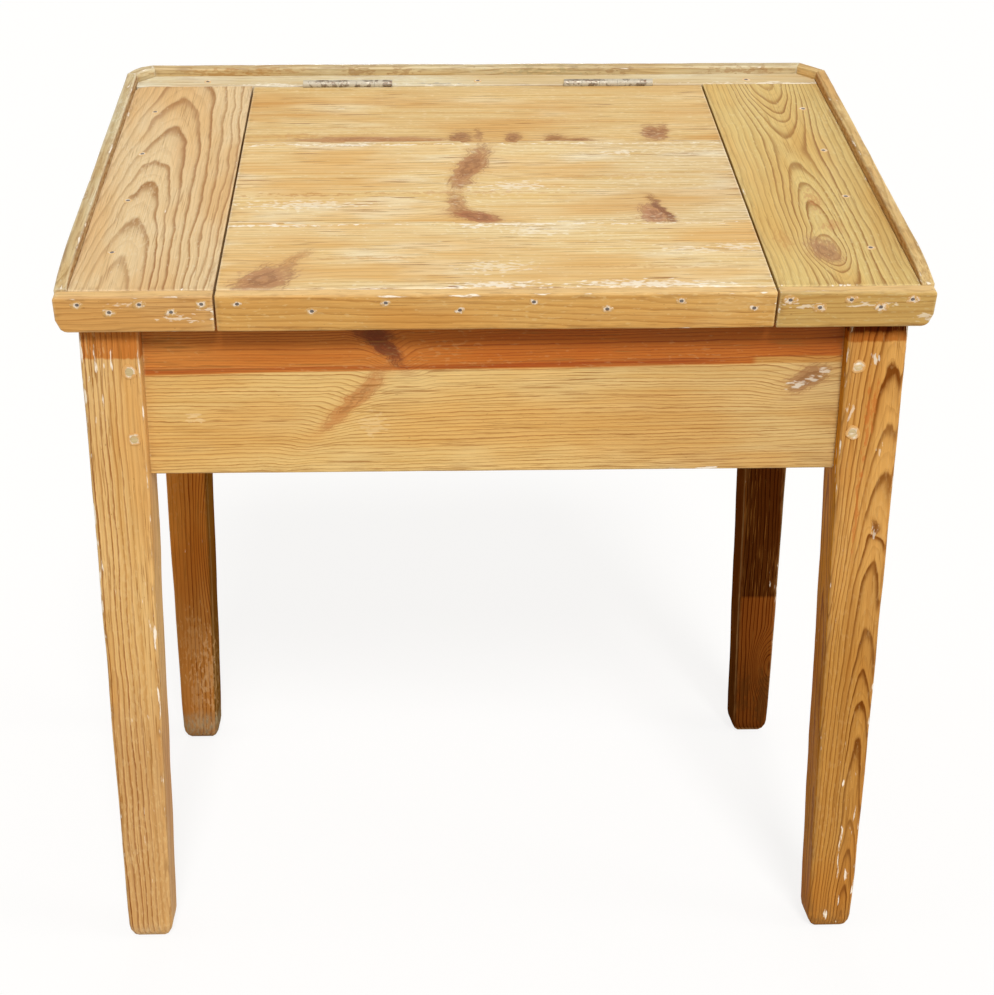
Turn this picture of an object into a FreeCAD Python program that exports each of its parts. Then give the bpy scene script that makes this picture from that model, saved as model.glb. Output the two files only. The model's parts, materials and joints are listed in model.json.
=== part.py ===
import FreeCAD, Part
import math
import os
import re
import Sketcher

# School desk with a lift lid. Millimetres, +Z up, +Y to the back, +X to the sitter's right.
# The origin is on the floor, below the middle of the desk's outline.
# The top slopes: its pieces are drawn on a slope frame (x, s, n), where s runs back along the
# slope from the front edge and n stands square to it, with n = 0 on the writing surface.

SIZES = {
    # legs
    "leg_spread_y": 502,
    "leg_size": 55,
    "foot_size": 45,
    "leg_round": 2.5,
    "foot_round": 6,
    # aprons and their pegged tenons
    "apron_bottom": 511,
    "apron_thick": 22,
    "apron_setback": 15,
    "apron_round": 1.5,
    "tenon_thick": 10,
    "tenon_shoulder": 12,
    "tenon_gap": 2,
    "mortise_clearance": 0.1,
    "peg_diameter": 9,
    "peg_length": 38,
    "peg_inset": 11,
    # sloping top
    "slope_angle": 15.5,
    "front_edge_height": 690,
    "front_overhang": 25,
    "back_overhang": 3,
    "top_width": 794,
    "side_overhang": 16,
    "board_thick": 22,
    "board_round": 1.2,
    "corner_chip": 7,
    "rail_width": 30.5,
    "lip_thick": 12,
    "lip_rise": 9,
    "lip_round": 2,
    "corner_clip": 25,
    "lipping_thick": 13,
    "lipping_height": 36,
    "lipping_end_round": 12,
    "lipping_top_round": 4,
    # lid
    "lid_opening_width": 509,
    "lid_side_gap": 2,
    "lid_seat_clearance": 0.3,
    "lid_back_board_width": 161,
    "lid_middle_board_width": 193,
    "seam_gap": 0.6,
    "tongue_thick": 7,
    "tongue_length": 6,
    "tongue_clearance": 0.3,
    "batten_width": 50,
    "batten_thick": 18,
    "batten_round": 2,
    "batten_end_inset": 57.5,
    "batten_front_inset": 62,
    "batten_back_inset": 44,
    # butt hinges
    "hinge_gap": 3,
    "hinge_end_inset": 55.5,
    "hinge_length": 100,
    "hinge_leaf_width": 21,
    "hinge_leaf_thick": 1.8,
    "hinge_leaf_gap": 0.6,
    "hinge_rise": 2,
    "knuckle_diameter": 9,
    "knuckle_clearance": 0.4,
    "knuckle_end_gap": 0.3,
    "hinge_pin_diameter": 4,
    "hinge_pin_clearance": 0.05,
    "hinge_screw_pitch": 34,
    # compartment bottom
    "ledger_width": 20,
    "ledger_height": 20,
    "plank_thick": 15,
    "plank_gap": 1,
    # fasteners
    "nail_diameter": 3.6,
    "nail_length": 44,
    "nail_sink": 0.8,
    "small_nail_length": 30,
    "nail_edge_inset": 20,
    "fastener_clearance": 0.05,
    "screw_diameter": 3.6,
    "screw_head_diameter": 7,
    "screw_head_height": 1.7,
    "hinge_screw_length": 20,
    "batten_screw_length": 30,
}

LID_BOARD_COUNT = 3
LID_NAIL_COUNT = 8
LIPPING_NAIL_COUNT = 5
TOP_BOARD_NAIL_COUNT = 4
RAIL_NAIL_COUNT = 5
SIDE_LIP_NAIL_COUNT = 4
BACK_LIP_NAIL_COUNT = 6
KNUCKLE_COUNT = 5
PLANK_COUNT = 4
LEDGER_NAIL_COUNT = 3
CROSS_PEG_SHARES = (0.19, 0.64)
SIDE_PEG_SHARES = (0.33, 0.78)

# Places that follow from the sizes, each written once in terms of the names above it.
DERIVED = {
    "depth": "front_overhang + leg_spread_y + back_overhang",
    "front_y": "-depth / 2",
    "leg_front": "front_y + front_overhang",
    "leg_back": "leg_front + leg_spread_y",
    "leg_outer": "top_width / 2 - side_overhang",
    "leg_inner": "leg_outer - leg_size",
    "apron_outer": "leg_outer - apron_setback",
    "apron_inner": "apron_outer - apron_thick",
    "front_apron_inner": "leg_front + apron_setback + apron_thick",
    "back_apron_inner": "leg_back - apron_setback - apron_thick",
    "between_legs_front": "leg_front + leg_size",
    "between_legs_back": "leg_back - leg_size",
    "tenon_length": "leg_size - apron_setback - (apron_thick + tenon_thick) / 2 - tenon_gap",
    "tenon_bottom": "apron_bottom + tenon_shoulder",
    "slope_length": "(depth - board_thick * sin(slope_angle)) / cos(slope_angle)",
    "top_half": "top_width / 2",
    "board_outer": "top_half - lip_thick",
    "rail_back": "slope_length - lip_thick",
    "rail_front": "rail_back - rail_width",
    "mitre_run": "lip_thick * tan(22.5)",
    "opening_half": "lid_opening_width / 2",
    "lid_half": "opening_half - lid_side_gap",
    "lid_back": "rail_front - hinge_gap",
    "lid_thick": "board_thick - lid_seat_clearance",
    "middle_seam": "lid_back - lid_back_board_width",
    "front_seam": "middle_seam - lid_middle_board_width",
    "batten_front": "lipping_thick + batten_front_inset",
    "batten_back": "lid_back - batten_back_inset",
    "batten_offset": "lid_half - batten_end_inset - batten_width / 2",
    "axis_s": "lid_back + hinge_gap / 2",
    "hinge_offset": "lid_half - hinge_end_inset - hinge_length / 2",
    "leaf_face": "hinge_leaf_gap / 2",
    "leaf_back": "leaf_face + hinge_leaf_thick",
    "leaf_bottom": "hinge_rise - hinge_leaf_width",
    "knuckle_radius": "knuckle_diameter / 2",
    "trough_radius": "knuckle_radius + knuckle_clearance",
    "screw_level": "(leaf_bottom + hinge_rise - trough_radius) / 2",
    "plank_level": "apron_bottom + ledger_height",
    "plank_front": "front_apron_inner + plank_gap",
    "plank_back": "back_apron_inner - plank_gap",
    "plank_half": "apron_inner - plank_gap",
    "nail_hole": "nail_diameter + 2 * fastener_clearance",
    "peg_hole": "peg_diameter + 2 * fastener_clearance",
    "screw_hole": "screw_diameter + 2 * fastener_clearance",
}

doc = FreeCAD.newDocument("school_desk")
sheet = doc.addObject("Spreadsheet::Sheet", "sizes")
for row, (alias, value) in enumerate(SIZES.items(), start=1):
    sheet.set(f"A{row}", alias)
    sheet.set(f"B{row}", str(value))
    sheet.setAlias(f"B{row}", alias)
doc.recompute()

pieces = []


def bind(text):
    """Write an expression in terms of the sheet's cells."""
    def swap(match):
        word = match[0]
        if word in DERIVED:
            return f"({bind(DERIVED[word])})"
        return f"sizes.{word}" if word in SIZES else word
    return re.sub(r"[a-z_]+", swap, str(text))


def measure(text):
    """The present value of an expression, for where a line is first drawn."""
    return float(sheet.evalExpression(bind(text)))


def underside(y):
    """Height of the underside of the top's boards at a depth y."""
    return f"(front_edge_height + ({y} - front_y) * tan(slope_angle) - board_thick / cos(slope_angle))"


def spread(first, last, count):
    """Evenly spaced places from first to last, both ends taken."""
    return [f"{first} + ({last} - ({first})) * {index} / {count - 1}" for index in range(count)]


def settle(item):
    """Recompute one object and stop if it failed."""
    item.recompute()
    if "Invalid" in item.State or "Error" in item.State:
        raise RuntimeError(f"{item.Label} failed: {item.getStatusString()}")
    return item


def on_slope(item):
    """Lay an object that was drawn on the slope frame on the sloping top."""
    item.Placement = FreeCAD.Placement(FreeCAD.Vector(), FreeCAD.Rotation(FreeCAD.Vector(1, 0, 0), 1))
    item.setExpression("Placement.Base.y", bind("front_y"))
    item.setExpression("Placement.Base.z", bind("front_edge_height"))
    item.setExpression("Placement.Rotation.Angle", bind("slope_angle"))
    return item


def keep(item, label):
    """Name a finished object as a piece of the desk."""
    item.Label = label
    pieces.append(item)
    return item


# Sketches and the features made from them


def new_sketch(body, plane, level):
    """A sketch on one of the body's own planes, moved to a level along that plane's axis."""
    sketch = body.newObject("Sketcher::SketchObject", "outline")
    support = next(item for item in body.Origin.OriginFeatures if item.Role == plane)
    sketch.AttachmentSupport = (support, "")
    sketch.MapMode = "FlatFace"
    side = "-" if plane == "XZ_Plane" else ""
    sketch.setExpression("AttachmentOffset.Base.z", bind(f"{side}({level})"))
    return sketch


def fix(sketch, kind, geometry, text):
    """Add one dimension to a sketch and bind it to the sheet."""
    index = sketch.addConstraint(Sketcher.Constraint(kind, *geometry, measure(text)))
    sketch.setExpression(f"Constraints[{index}]", bind(text))


def fix_point(sketch, line, end, x, y):
    """Place one point of a sketch from its origin."""
    fix(sketch, "DistanceX", (-1, 1, line, end), x)
    fix(sketch, "DistanceY", (-1, 1, line, end), y)


def draw_polygon(sketch, corners):
    """Draw a closed outline through corners given as pairs of expressions."""
    first = sketch.GeometryCount
    points = [FreeCAD.Vector(measure(x), measure(y), 0) for x, y in corners]
    count = len(corners)
    for index in range(count):
        sketch.addGeometry(Part.LineSegment(points[index], points[(index + 1) % count]), False)
    for index in range(count):
        ends = (first + index, 2, first + (index + 1) % count, 1)
        sketch.addConstraint(Sketcher.Constraint("Coincident", *ends))
    for index, (x, y) in enumerate(corners):
        fix_point(sketch, first + index, 1, x, y)


def draw_circles(sketch, centres, diameter):
    """Draw equal circles at centres given as pairs of expressions."""
    for x, y in centres:
        centre = FreeCAD.Vector(measure(x), measure(y), 0)
        circle = Part.Circle(centre, FreeCAD.Vector(0, 0, 1), measure(diameter) / 2)
        index = sketch.addGeometry(circle, False)
        fix_point(sketch, index, 3, x, y)
        fix(sketch, "Diameter", (index,), diameter)


def draw_rounded_square(sketch, low, high, radius):
    """Draw a square between two expressions, both ways alike, with its four corners rounded."""
    near, far, bend = measure(low), measure(high), measure(radius)
    start, stop = near + bend, far - bend
    vector = FreeCAD.Vector
    runs = [((start, near), (stop, near)), ((far, start), (far, stop)),
            ((stop, far), (start, far)), ((near, stop), (near, start))]
    for first, last in runs:
        sketch.addGeometry(Part.LineSegment(vector(*first, 0), vector(*last, 0)), False)
    turns = [(stop, start), (stop, stop), (start, stop), (start, start)]
    for index, centre in enumerate(turns):
        circle = Part.Circle(vector(*centre, 0), vector(0, 0, 1), bend)
        angle = (index - 1) * math.pi / 2
        sketch.addGeometry(Part.ArcOfCircle(circle, angle, angle + math.pi / 2), False)
    for index in range(4):
        arc = 4 + index
        sketch.addConstraint(Sketcher.Constraint("Tangent", index, 2, arc, 1))
        sketch.addConstraint(Sketcher.Constraint("Tangent", arc, 2, (index + 1) % 4, 1))
        sketch.addConstraint(Sketcher.Constraint("Vertical" if index % 2 else "Horizontal", index))
    for arc in (5, 6, 7):
        sketch.addConstraint(Sketcher.Constraint("Equal", 4, arc))
    fix(sketch, "Radius", (4,), radius)
    fix(sketch, "DistanceY", (-1, 1, 0, 1), low)
    fix(sketch, "DistanceX", (-1, 1, 3, 1), low)
    fix(sketch, "DistanceX", (-1, 1, 1, 1), high)
    fix(sketch, "DistanceY", (-1, 1, 2, 1), high)


def add_slab(body, plane, low, high, corners=None, circles=None, diameter=None):
    """Pad an outline, or round rods, from a low to a high level along a plane's axis."""
    sketch = new_sketch(body, plane, low)
    if corners:
        draw_polygon(sketch, corners)
    else:
        draw_circles(sketch, circles, diameter)
    settle(sketch)
    pad = body.newObject("PartDesign::Pad", "slab")
    pad.Profile = sketch
    pad.Reversed = plane == "XZ_Plane"
    pad.setExpression("Length", bind(f"{high} - ({low})"))
    return settle(pad)


def cut_slab(body, plane, low, high, corners=None, circles=None, diameter=None):
    """Pocket an outline, or round holes, between two levels along a plane's axis."""
    before = body.Tip.Shape.Volume
    sketch = new_sketch(body, plane, low if plane == "XZ_Plane" else high)
    if corners:
        draw_polygon(sketch, corners)
    else:
        draw_circles(sketch, circles, diameter)
    settle(sketch)
    pocket = body.newObject("PartDesign::Pocket", "cut")
    pocket.Profile = sketch
    pocket.setExpression("Length", bind(f"{high} - ({low})"))
    settle(pocket)
    if pocket.Shape.Volume >= before:
        raise RuntimeError(f"{body.Label}: a cut removed nothing")
    return pocket


def round_edges(body, radius, chosen=None):
    """Round the edges of the body that a test picks, or all of them."""
    base = body.Tip
    fillet = body.newObject("PartDesign::Fillet", "rounding")
    if chosen:
        names = [f"Edge{i}" for i, edge in enumerate(base.Shape.Edges, start=1) if chosen(edge)]
        fillet.Base = (base, names)
    else:
        fillet.Base = (base, [""])
        fillet.UseAllEdges = True
    fillet.setExpression("Radius", bind(radius))
    return settle(fillet)


def new_body(label):
    """An empty body for one piece."""
    body = doc.addObject("PartDesign::Body", label)
    body.Label = label
    return body


def rectangle(x_low, x_high, y_low, y_high):
    """Corners of a rectangle between pairs of expressions."""
    return [(x_low, y_low), (x_high, y_low), (x_high, y_high), (x_low, y_high)]


def mirrored(corners, side):
    """Corners drawn for the right side, moved to the left where side is -1."""
    return [(f"{side} * ({x})", y) for x, y in corners]


# Solids and booleans

TURN_TO_X = FreeCAD.Rotation(FreeCAD.Vector(0, 1, 0), 90)
TURN_TO_Y = FreeCAD.Rotation(FreeCAD.Vector(1, 0, 0), -90)
STAY_ON_Z = FreeCAD.Rotation()


def place(item, spot, turn=STAY_ON_Z):
    """Turn a primitive and bind its place to three expressions."""
    item.Placement = FreeCAD.Placement(FreeCAD.Vector(), turn)
    for axis, text in zip("xyz", spot):
        item.setExpression(f"Placement.Base.{axis}", bind(text))
    return item


def block(x_low, x_high, y_low, y_high, z_low, z_high):
    """A box between pairs of expressions."""
    item = doc.addObject("Part::Box", "block")
    for name, low, high in (("Length", x_low, x_high), ("Width", y_low, y_high), ("Height", z_low, z_high)):
        item.setExpression(name, bind(f"{high} - ({low})"))
    return place(item, (x_low, y_low, z_low))


def rod(spot, turn, diameter, length):
    """A round rod that starts at a spot."""
    item = doc.addObject("Part::Cylinder", "rod")
    item.setExpression("Radius", bind(f"({diameter}) / 2"))
    item.setExpression("Height", bind(length))
    return place(item, spot, turn)


def taper(spot, turn, wide, narrow, length):
    """A round taper that starts wide at a spot."""
    item = doc.addObject("Part::Cone", "taper")
    item.setExpression("Radius1", bind(f"({wide}) / 2"))
    item.setExpression("Radius2", bind(f"({narrow}) / 2"))
    item.setExpression("Height", bind(length))
    return place(item, spot, turn)


def fuse(items):
    """One object of all the solids, joined where they meet."""
    item = doc.addObject("Part::MultiFuse", "joined")
    item.Shapes = items
    return item


def carve(base, tools):
    """A base with every tool cut out of it."""
    item = doc.addObject("Part::Cut", "carved")
    item.Base = base
    item.Tool = fuse(tools) if len(tools) > 1 else tools[0]
    return item


def slope_spot(x, s, n):
    """A point of the slope frame in the desk's own frame."""
    y = f"front_y + ({s}) * cos(slope_angle) - ({n}) * sin(slope_angle)"
    z = f"front_edge_height + ({s}) * sin(slope_angle) + ({n}) * cos(slope_angle)"
    return x, y, z


def slope_rods(spots, diameter, length):
    """Rods driven square into the sloping top from spots on the slope frame."""
    rods = []
    for spot in spots:
        item = rod(slope_spot(*spot), FreeCAD.Rotation(FreeCAD.Vector(1, 0, 0), 180), diameter, length)
        item.setExpression("Placement.Rotation.Angle", bind("180 + slope_angle"))
        rods.append(item)
    return rods


# Fastener places

NAIL_TOP = "0 - nail_sink"
SIDE_NAIL_X = "(apron_outer + apron_inner) / 2"
SIDE_NAIL_S = spread("lipping_thick + leg_size + nail_edge_inset", "rail_front - leg_size - nail_edge_inset",
                     TOP_BOARD_NAIL_COUNT)
RAIL_NAIL_S = "(leg_back - apron_setback - apron_thick / 2 - front_y - board_thick * sin(slope_angle))" \
              " / cos(slope_angle)"
RAIL_NAIL_X = spread("0 - leg_inner + nail_edge_inset", "leg_inner - nail_edge_inset", RAIL_NAIL_COUNT)


def side_nail_spots(side):
    """Nails through a side board into the apron below it."""
    return [(f"{side} * ({SIDE_NAIL_X})", s, NAIL_TOP) for s in SIDE_NAIL_S]


def rail_nail_spots():
    """Nails through the rear rail into the back apron."""
    return [(x, RAIL_NAIL_S, NAIL_TOP) for x in RAIL_NAIL_X]


def lipping_nail_spots(first, last, count):
    """Nails along a lipping's face, in and out of line by turns, within the board behind it."""
    levels = ("0 - board_thick * 0.35", "0 - board_thick * 0.7")
    return [(x, levels[index % 2]) for index, x in enumerate(spread(first, last, count))]


LID_NAIL_SPOTS = lipping_nail_spots("0 - lid_half + nail_edge_inset", "lid_half - nail_edge_inset",
                                    LID_NAIL_COUNT)
LIPPING_NAIL_SPOTS = lipping_nail_spots("opening_half + nail_edge_inset / 2",
                                        "board_outer - nail_edge_inset / 2",
                                        LIPPING_NAIL_COUNT)
LIP_NAIL_S = spread("nail_sink + nail_length + nail_edge_inset", "rail_front - nail_edge_inset",
                    SIDE_LIP_NAIL_COUNT)
LIP_NAIL_LEVEL = "0 - board_thick / 2"
BACK_LIP_NAIL_X = spread("0 - board_outer + 2 * corner_clip", "board_outer - 2 * corner_clip",
                         BACK_LIP_NAIL_COUNT)


def peg_heights(shares):
    """Heights of the two pegs of one joint, as shares of the way up the front tenon."""
    return [f"tenon_bottom + ({FRONT_TENON_TOP} - tenon_bottom) * {share}" for share in shares]


# Legs and aprons

slope_block = doc.addObject("Part::Box", "above_the_underside")
BLOCK_SIZES = {"Length": "2 * top_width", "Width": "2 * slope_length", "Height": "front_edge_height"}
for name, text in BLOCK_SIZES.items():
    slope_block.setExpression(name, bind(text))
place(slope_block, slope_spot("0 - top_width", "0 - slope_length / 2", "0 - board_thick"),
      FreeCAD.Rotation(FreeCAD.Vector(1, 0, 0), 1))
slope_block.setExpression("Placement.Rotation.Angle", bind("slope_angle"))

FRONT_TENON_TOP = f"{underside('(leg_front + apron_setback)')} - tenon_shoulder"
BACK_TENON_TOP = f"{underside('back_apron_inner')} - tenon_shoulder"
SIDE_FRONT_TENON_TOP = f"{underside('(between_legs_front - tenon_length)')} - tenon_shoulder"
SIDE_BACK_TENON_TOP = f"{underside('between_legs_back')} - tenon_shoulder"


def cross_tenon(side, back, slack):
    """The tenon of a front or back apron in one leg, or its mortise where there is slack."""
    inner = "back_apron_inner" if back else "(leg_front + apron_setback)"
    middle = f"({inner} + apron_thick / 2)"
    top = BACK_TENON_TOP if back else FRONT_TENON_TOP
    low, high = f"leg_inner - {slack}", f"leg_inner + tenon_length + {slack}"
    x_range = (low, high) if side > 0 else (f"0 - ({high})", f"0 - ({low})")
    y_range = (f"{middle} - tenon_thick / 2 - {slack}", f"{middle} + tenon_thick / 2 + {slack}")
    return x_range + y_range + (f"tenon_bottom - {slack}", f"{top} + {slack}")


def side_tenon(side, back, slack):
    """The tenon of a side apron in one leg, or its mortise where there is slack."""
    middle = f"{side} * (apron_inner + apron_thick / 2)"
    top = SIDE_BACK_TENON_TOP if back else SIDE_FRONT_TENON_TOP
    if back:
        y_range = (f"between_legs_back - {slack}", f"between_legs_back + tenon_length + {slack}")
    else:
        y_range = (f"between_legs_front - tenon_length - {slack}", f"between_legs_front + {slack}")
    x_range = (f"{middle} - tenon_thick / 2 - {slack}", f"{middle} + tenon_thick / 2 + {slack}")
    return x_range + y_range + (f"tenon_bottom - {slack}", f"{top} + {slack}")


def cross_pegs(side, back, diameter):
    """Pegs driven from a leg's front or back face through a front or back apron's tenon."""
    x = f"{side} * (leg_inner + peg_inset)"
    y = "leg_back - peg_length" if back else "leg_front"
    return [rod((x, y, z), TURN_TO_Y, diameter, "peg_length") for z in peg_heights(CROSS_PEG_SHARES)]


def side_pegs(side, back, diameter):
    """Pegs driven from a leg's outer face through a side apron's tenon."""
    x = "leg_outer - peg_length" if side > 0 else "0 - leg_outer"
    y = "between_legs_back + peg_inset" if back else "between_legs_front - peg_inset"
    return [rod((x, y, z), TURN_TO_X, diameter, "peg_length") for z in peg_heights(SIDE_PEG_SHARES)]


def leg_section(body, level, inset="0"):
    """The leg's section at a level, which grows evenly from the floor to the aprons."""
    sketch = new_sketch(body, "XY_Plane", level)
    size = f"foot_size + (leg_size - foot_size) * ({level}) / apron_bottom"
    draw_rounded_square(sketch, inset, f"{size} - ({inset})", "leg_round")
    return settle(sketch)


def loft(body, sections, ruled):
    """A solid through sections, straight between them where ruled."""
    item = body.newObject("PartDesign::AdditiveLoft", "taper")
    item.Profile = sections[0]
    item.Sections = sections[1:]
    item.Ruled = ruled
    return settle(item)


def make_leg(label, side, back, quarter_turns):
    """A leg, drawn from its outer corner inward, tapered on its two inner faces below the apron."""
    body = new_body(f"{label}_blank")
    worn = "foot_round * (1 - sin(45))"
    loft(body, [leg_section(body, "0", "foot_round"), leg_section(body, worn, worn),
                leg_section(body, "foot_round")], False)
    loft(body, [leg_section(body, "foot_round"), leg_section(body, "apron_bottom")], True)
    pad = body.newObject("PartDesign::Pad", "post")
    pad.Profile = leg_section(body, "apron_bottom")
    pad.setExpression("Length", bind(f"{underside('leg_back')} - apron_bottom + board_thick"))
    settle(pad)
    corner = (f"{side} * leg_outer", "leg_back" if back else "leg_front", "0")
    place(body, corner, FreeCAD.Rotation(FreeCAD.Vector(0, 0, 1), 90 * quarter_turns))
    tools = [slope_block]
    tools.append(block(*cross_tenon(side, back, "mortise_clearance")))
    tools.append(block(*side_tenon(side, back, "mortise_clearance")))
    tools += cross_pegs(side, back, "peg_hole")
    tools += side_pegs(side, back, "peg_hole")
    keep(carve(body, tools), label)


def make_apron_blank(label, x_range, y_range, top):
    """An apron's board, its edges eased, before its top is planed to the slope."""
    body = new_body(f"{label}_blank")
    add_slab(body, "XY_Plane", "apron_bottom", top, rectangle(*x_range, *y_range))
    round_edges(body, "apron_round")
    return body


def make_cross_apron(label, back):
    """The front or the back apron, with a tenon at each end."""
    low = "back_apron_inner" if back else "leg_front + apron_setback"
    high = f"{low} + apron_thick"
    top = f"{underside(f'({high})')} + board_thick"
    body = make_apron_blank(label, ("0 - leg_inner", "leg_inner"), (low, high), top)
    board = fuse([body] + [block(*cross_tenon(side, back, "0")) for side in (-1, 1)])
    tools = [slope_block]
    for side in (-1, 1):
        tools += cross_pegs(side, back, "peg_hole")
    if back:
        tools += slope_rods(rail_nail_spots(), "nail_hole", "nail_length")
    keep(carve(board, tools), label)


def ledger_nail_rods(side, diameter):
    """Nails through a ledger into the side apron."""
    x = "apron_inner - ledger_width" if side > 0 else "0 - apron_inner + ledger_width - small_nail_length"
    z = "apron_bottom + ledger_height / 2"
    inset = "2 * nail_edge_inset"
    places = spread(f"between_legs_front + {inset}", f"between_legs_back - {inset}", LEDGER_NAIL_COUNT)
    return [rod((x, y, z), TURN_TO_X, diameter, "small_nail_length") for y in places]


def make_side_apron(label, side):
    """A side apron, whose top edge climbs with the slope, with a tenon at each end."""
    x_range = ("apron_inner", "apron_outer") if side > 0 else ("0 - apron_outer", "0 - apron_inner")
    top = f"{underside('between_legs_back')} + board_thick"
    body = make_apron_blank(label, x_range, ("between_legs_front", "between_legs_back"), top)
    board = fuse([body] + [block(*side_tenon(side, back, "0")) for back in (False, True)])
    tools = [slope_block]
    for back in (False, True):
        tools += side_pegs(side, back, "peg_hole")
    tools += slope_rods(side_nail_spots(side), "nail_hole", "nail_length")
    tools += ledger_nail_rods(side, "nail_hole")
    keep(carve(board, tools), label)


def make_pegs():
    """All the round pegs that lock the tenons."""
    rods = []
    for side in (-1, 1):
        for back in (False, True):
            rods += cross_pegs(side, back, "peg_diameter")
            rods += side_pegs(side, back, "peg_diameter")
    keep(fuse(rods), "tenon_pegs")


# Compartment bottom


def make_ledger(label, side):
    """A square strip along a side apron that carries the ends of the planks."""
    low, high = "apron_inner - ledger_width", "apron_inner"
    x_range = (low, high) if side > 0 else (f"0 - ({high})", f"0 - ({low})")
    body = new_body(f"{label}_blank")
    outline = rectangle(*x_range, "between_legs_front", "between_legs_back")
    add_slab(body, "XY_Plane", "apron_bottom", "plank_level", outline)
    nails = plank_nail_spots(side)
    level = "plank_level + plank_thick - nail_sink - small_nail_length"
    cut_slab(body, "XY_Plane", level, "plank_level", circles=nails, diameter="nail_hole")
    keep(carve(body, ledger_nail_rods(side, "nail_hole")), label)


def plank_edges(index):
    """Front and back edge of one plank of the bottom."""
    step = f"((plank_back - plank_front + plank_gap) / {PLANK_COUNT})"
    return f"plank_front + {index} * {step}", f"plank_front + {index + 1} * {step} - plank_gap"


def plank_nail_spots(side, planks=range(PLANK_COUNT)):
    """Two nails through each plank's end into a ledger, clear of the notches round the legs."""
    x = f"{side} * (apron_inner - ledger_width / 2)"
    spots = []
    for index in planks:
        low, high = plank_edges(index)
        low = "between_legs_front + plank_gap" if index == 0 else low
        high = "between_legs_back - plank_gap" if index == PLANK_COUNT - 1 else high
        spots += [(x, f"{low} + nail_edge_inset"), (x, f"{high} - nail_edge_inset")]
    return spots


def make_plank(index):
    """A plank of the bottom; the first and the last are notched round the legs."""
    low, high = plank_edges(index)
    notch_x, half = "leg_inner - plank_gap", "plank_half"
    if index == 0:
        notch = "between_legs_front + plank_gap"
        right = [(notch_x, low), (notch_x, notch), (half, notch), (half, high)]
    elif index == PLANK_COUNT - 1:
        notch = "between_legs_back - plank_gap"
        right = [(half, low), (half, notch), (notch_x, notch), (notch_x, high)]
    else:
        right = [(half, low), (half, high)]
    label = f"bottom_plank_{index + 1}"
    body = new_body(label)
    top = "plank_level + plank_thick"
    add_slab(body, "XY_Plane", "plank_level", top, right + mirrored(reversed(right), -1))
    for side in (-1, 1):
        spots = plank_nail_spots(side, [index])
        cut_slab(body, "XY_Plane", "plank_level", top, circles=spots, diameter="nail_hole")
    keep(body, label)


def make_bottom_nails():
    """The nails of the compartment's bottom and of its ledgers."""
    z = "plank_level + plank_thick - nail_sink - small_nail_length"
    rods = []
    for side in (-1, 1):
        rods += [rod((x, y, z), STAY_ON_Z, "nail_diameter", "small_nail_length")
                 for x, y in plank_nail_spots(side)]
    keep(fuse(rods), "plank_nails")
    rods = ledger_nail_rods(-1, "nail_diameter") + ledger_nail_rods(1, "nail_diameter")
    keep(fuse(rods), "ledger_nails")


# Fixed part of the top

DRIVEN_DEPTH = "nail_sink + nail_length"


def make_side_board(label, side):
    """A fixed side board of the top; the left one has lost its back outer corner."""
    outline = rectangle("opening_half", "board_outer", "lipping_thick", "rail_front")
    if side < 0:
        outline[2:3] = [("board_outer", "rail_front - corner_chip"),
                        ("board_outer - corner_chip", "rail_front")]
    body = new_body(label)
    add_slab(body, "XY_Plane", "0 - board_thick", "0", mirrored(outline, side))
    round_edges(body, "board_round")
    spots = [spot[:2] for spot in side_nail_spots(side)]
    cut_slab(body, "XY_Plane", "0 - board_thick", "0", circles=spots, diameter="nail_hole")
    spots = mirrored(LIPPING_NAIL_SPOTS, side)
    cut_slab(body, "XZ_Plane", "lipping_thick", DRIVEN_DEPTH, circles=spots, diameter="nail_hole")
    x_range = lip_nail_range(side)
    inside = (x_range[0], f"{side} * board_outer") if side > 0 else (f"{side} * board_outer", x_range[1])
    spots = [(s, LIP_NAIL_LEVEL) for s in LIP_NAIL_S]
    cut_slab(body, "YZ_Plane", *inside, circles=spots, diameter="nail_hole")
    keep(on_slope(body), label)


def lip_nail_range(side):
    """Where the nails of a side lip lie across the top."""
    outer, inner = "top_half - nail_sink", "top_half - nail_sink - small_nail_length"
    return (inner, outer) if side > 0 else (f"0 - ({outer})", f"0 - ({inner})")


def make_side_lip(label, side):
    """A raised strip along one side of the top, mitred to the corner lip."""
    outline = [("board_outer", "lipping_thick"), ("top_half", "lipping_thick"),
               ("top_half", "slope_length - corner_clip"),
               ("board_outer", "slope_length - corner_clip - mitre_run")]
    body = new_body(label)
    add_slab(body, "XY_Plane", "0 - board_thick", "lip_rise", mirrored(outline, side))
    top, width = measure("lip_rise"), measure("2 * lip_thick")
    round_edges(body, "lip_round", lambda edge: edge.BoundBox.ZMin > top - 0.001 and edge.Length > width)
    spots = [(s, LIP_NAIL_LEVEL) for s in LIP_NAIL_S]
    ends = ("board_outer", "top_half") if side > 0 else ("0 - top_half", "0 - board_outer")
    cut_slab(body, "YZ_Plane", *ends, circles=spots, diameter="nail_hole")
    keep(on_slope(body), label)


def make_corner_lip(label, side):
    """The short strip across a clipped back corner, mitred at both ends."""
    outline = [("board_outer", "slope_length - corner_clip - mitre_run"),
               ("top_half", "slope_length - corner_clip"),
               ("top_half - corner_clip", "slope_length"),
               ("top_half - corner_clip - mitre_run", "rail_back")]
    body = new_body(label)
    add_slab(body, "XY_Plane", "0 - board_thick", "lip_rise", mirrored(outline, side))
    keep(on_slope(body), label)


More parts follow.
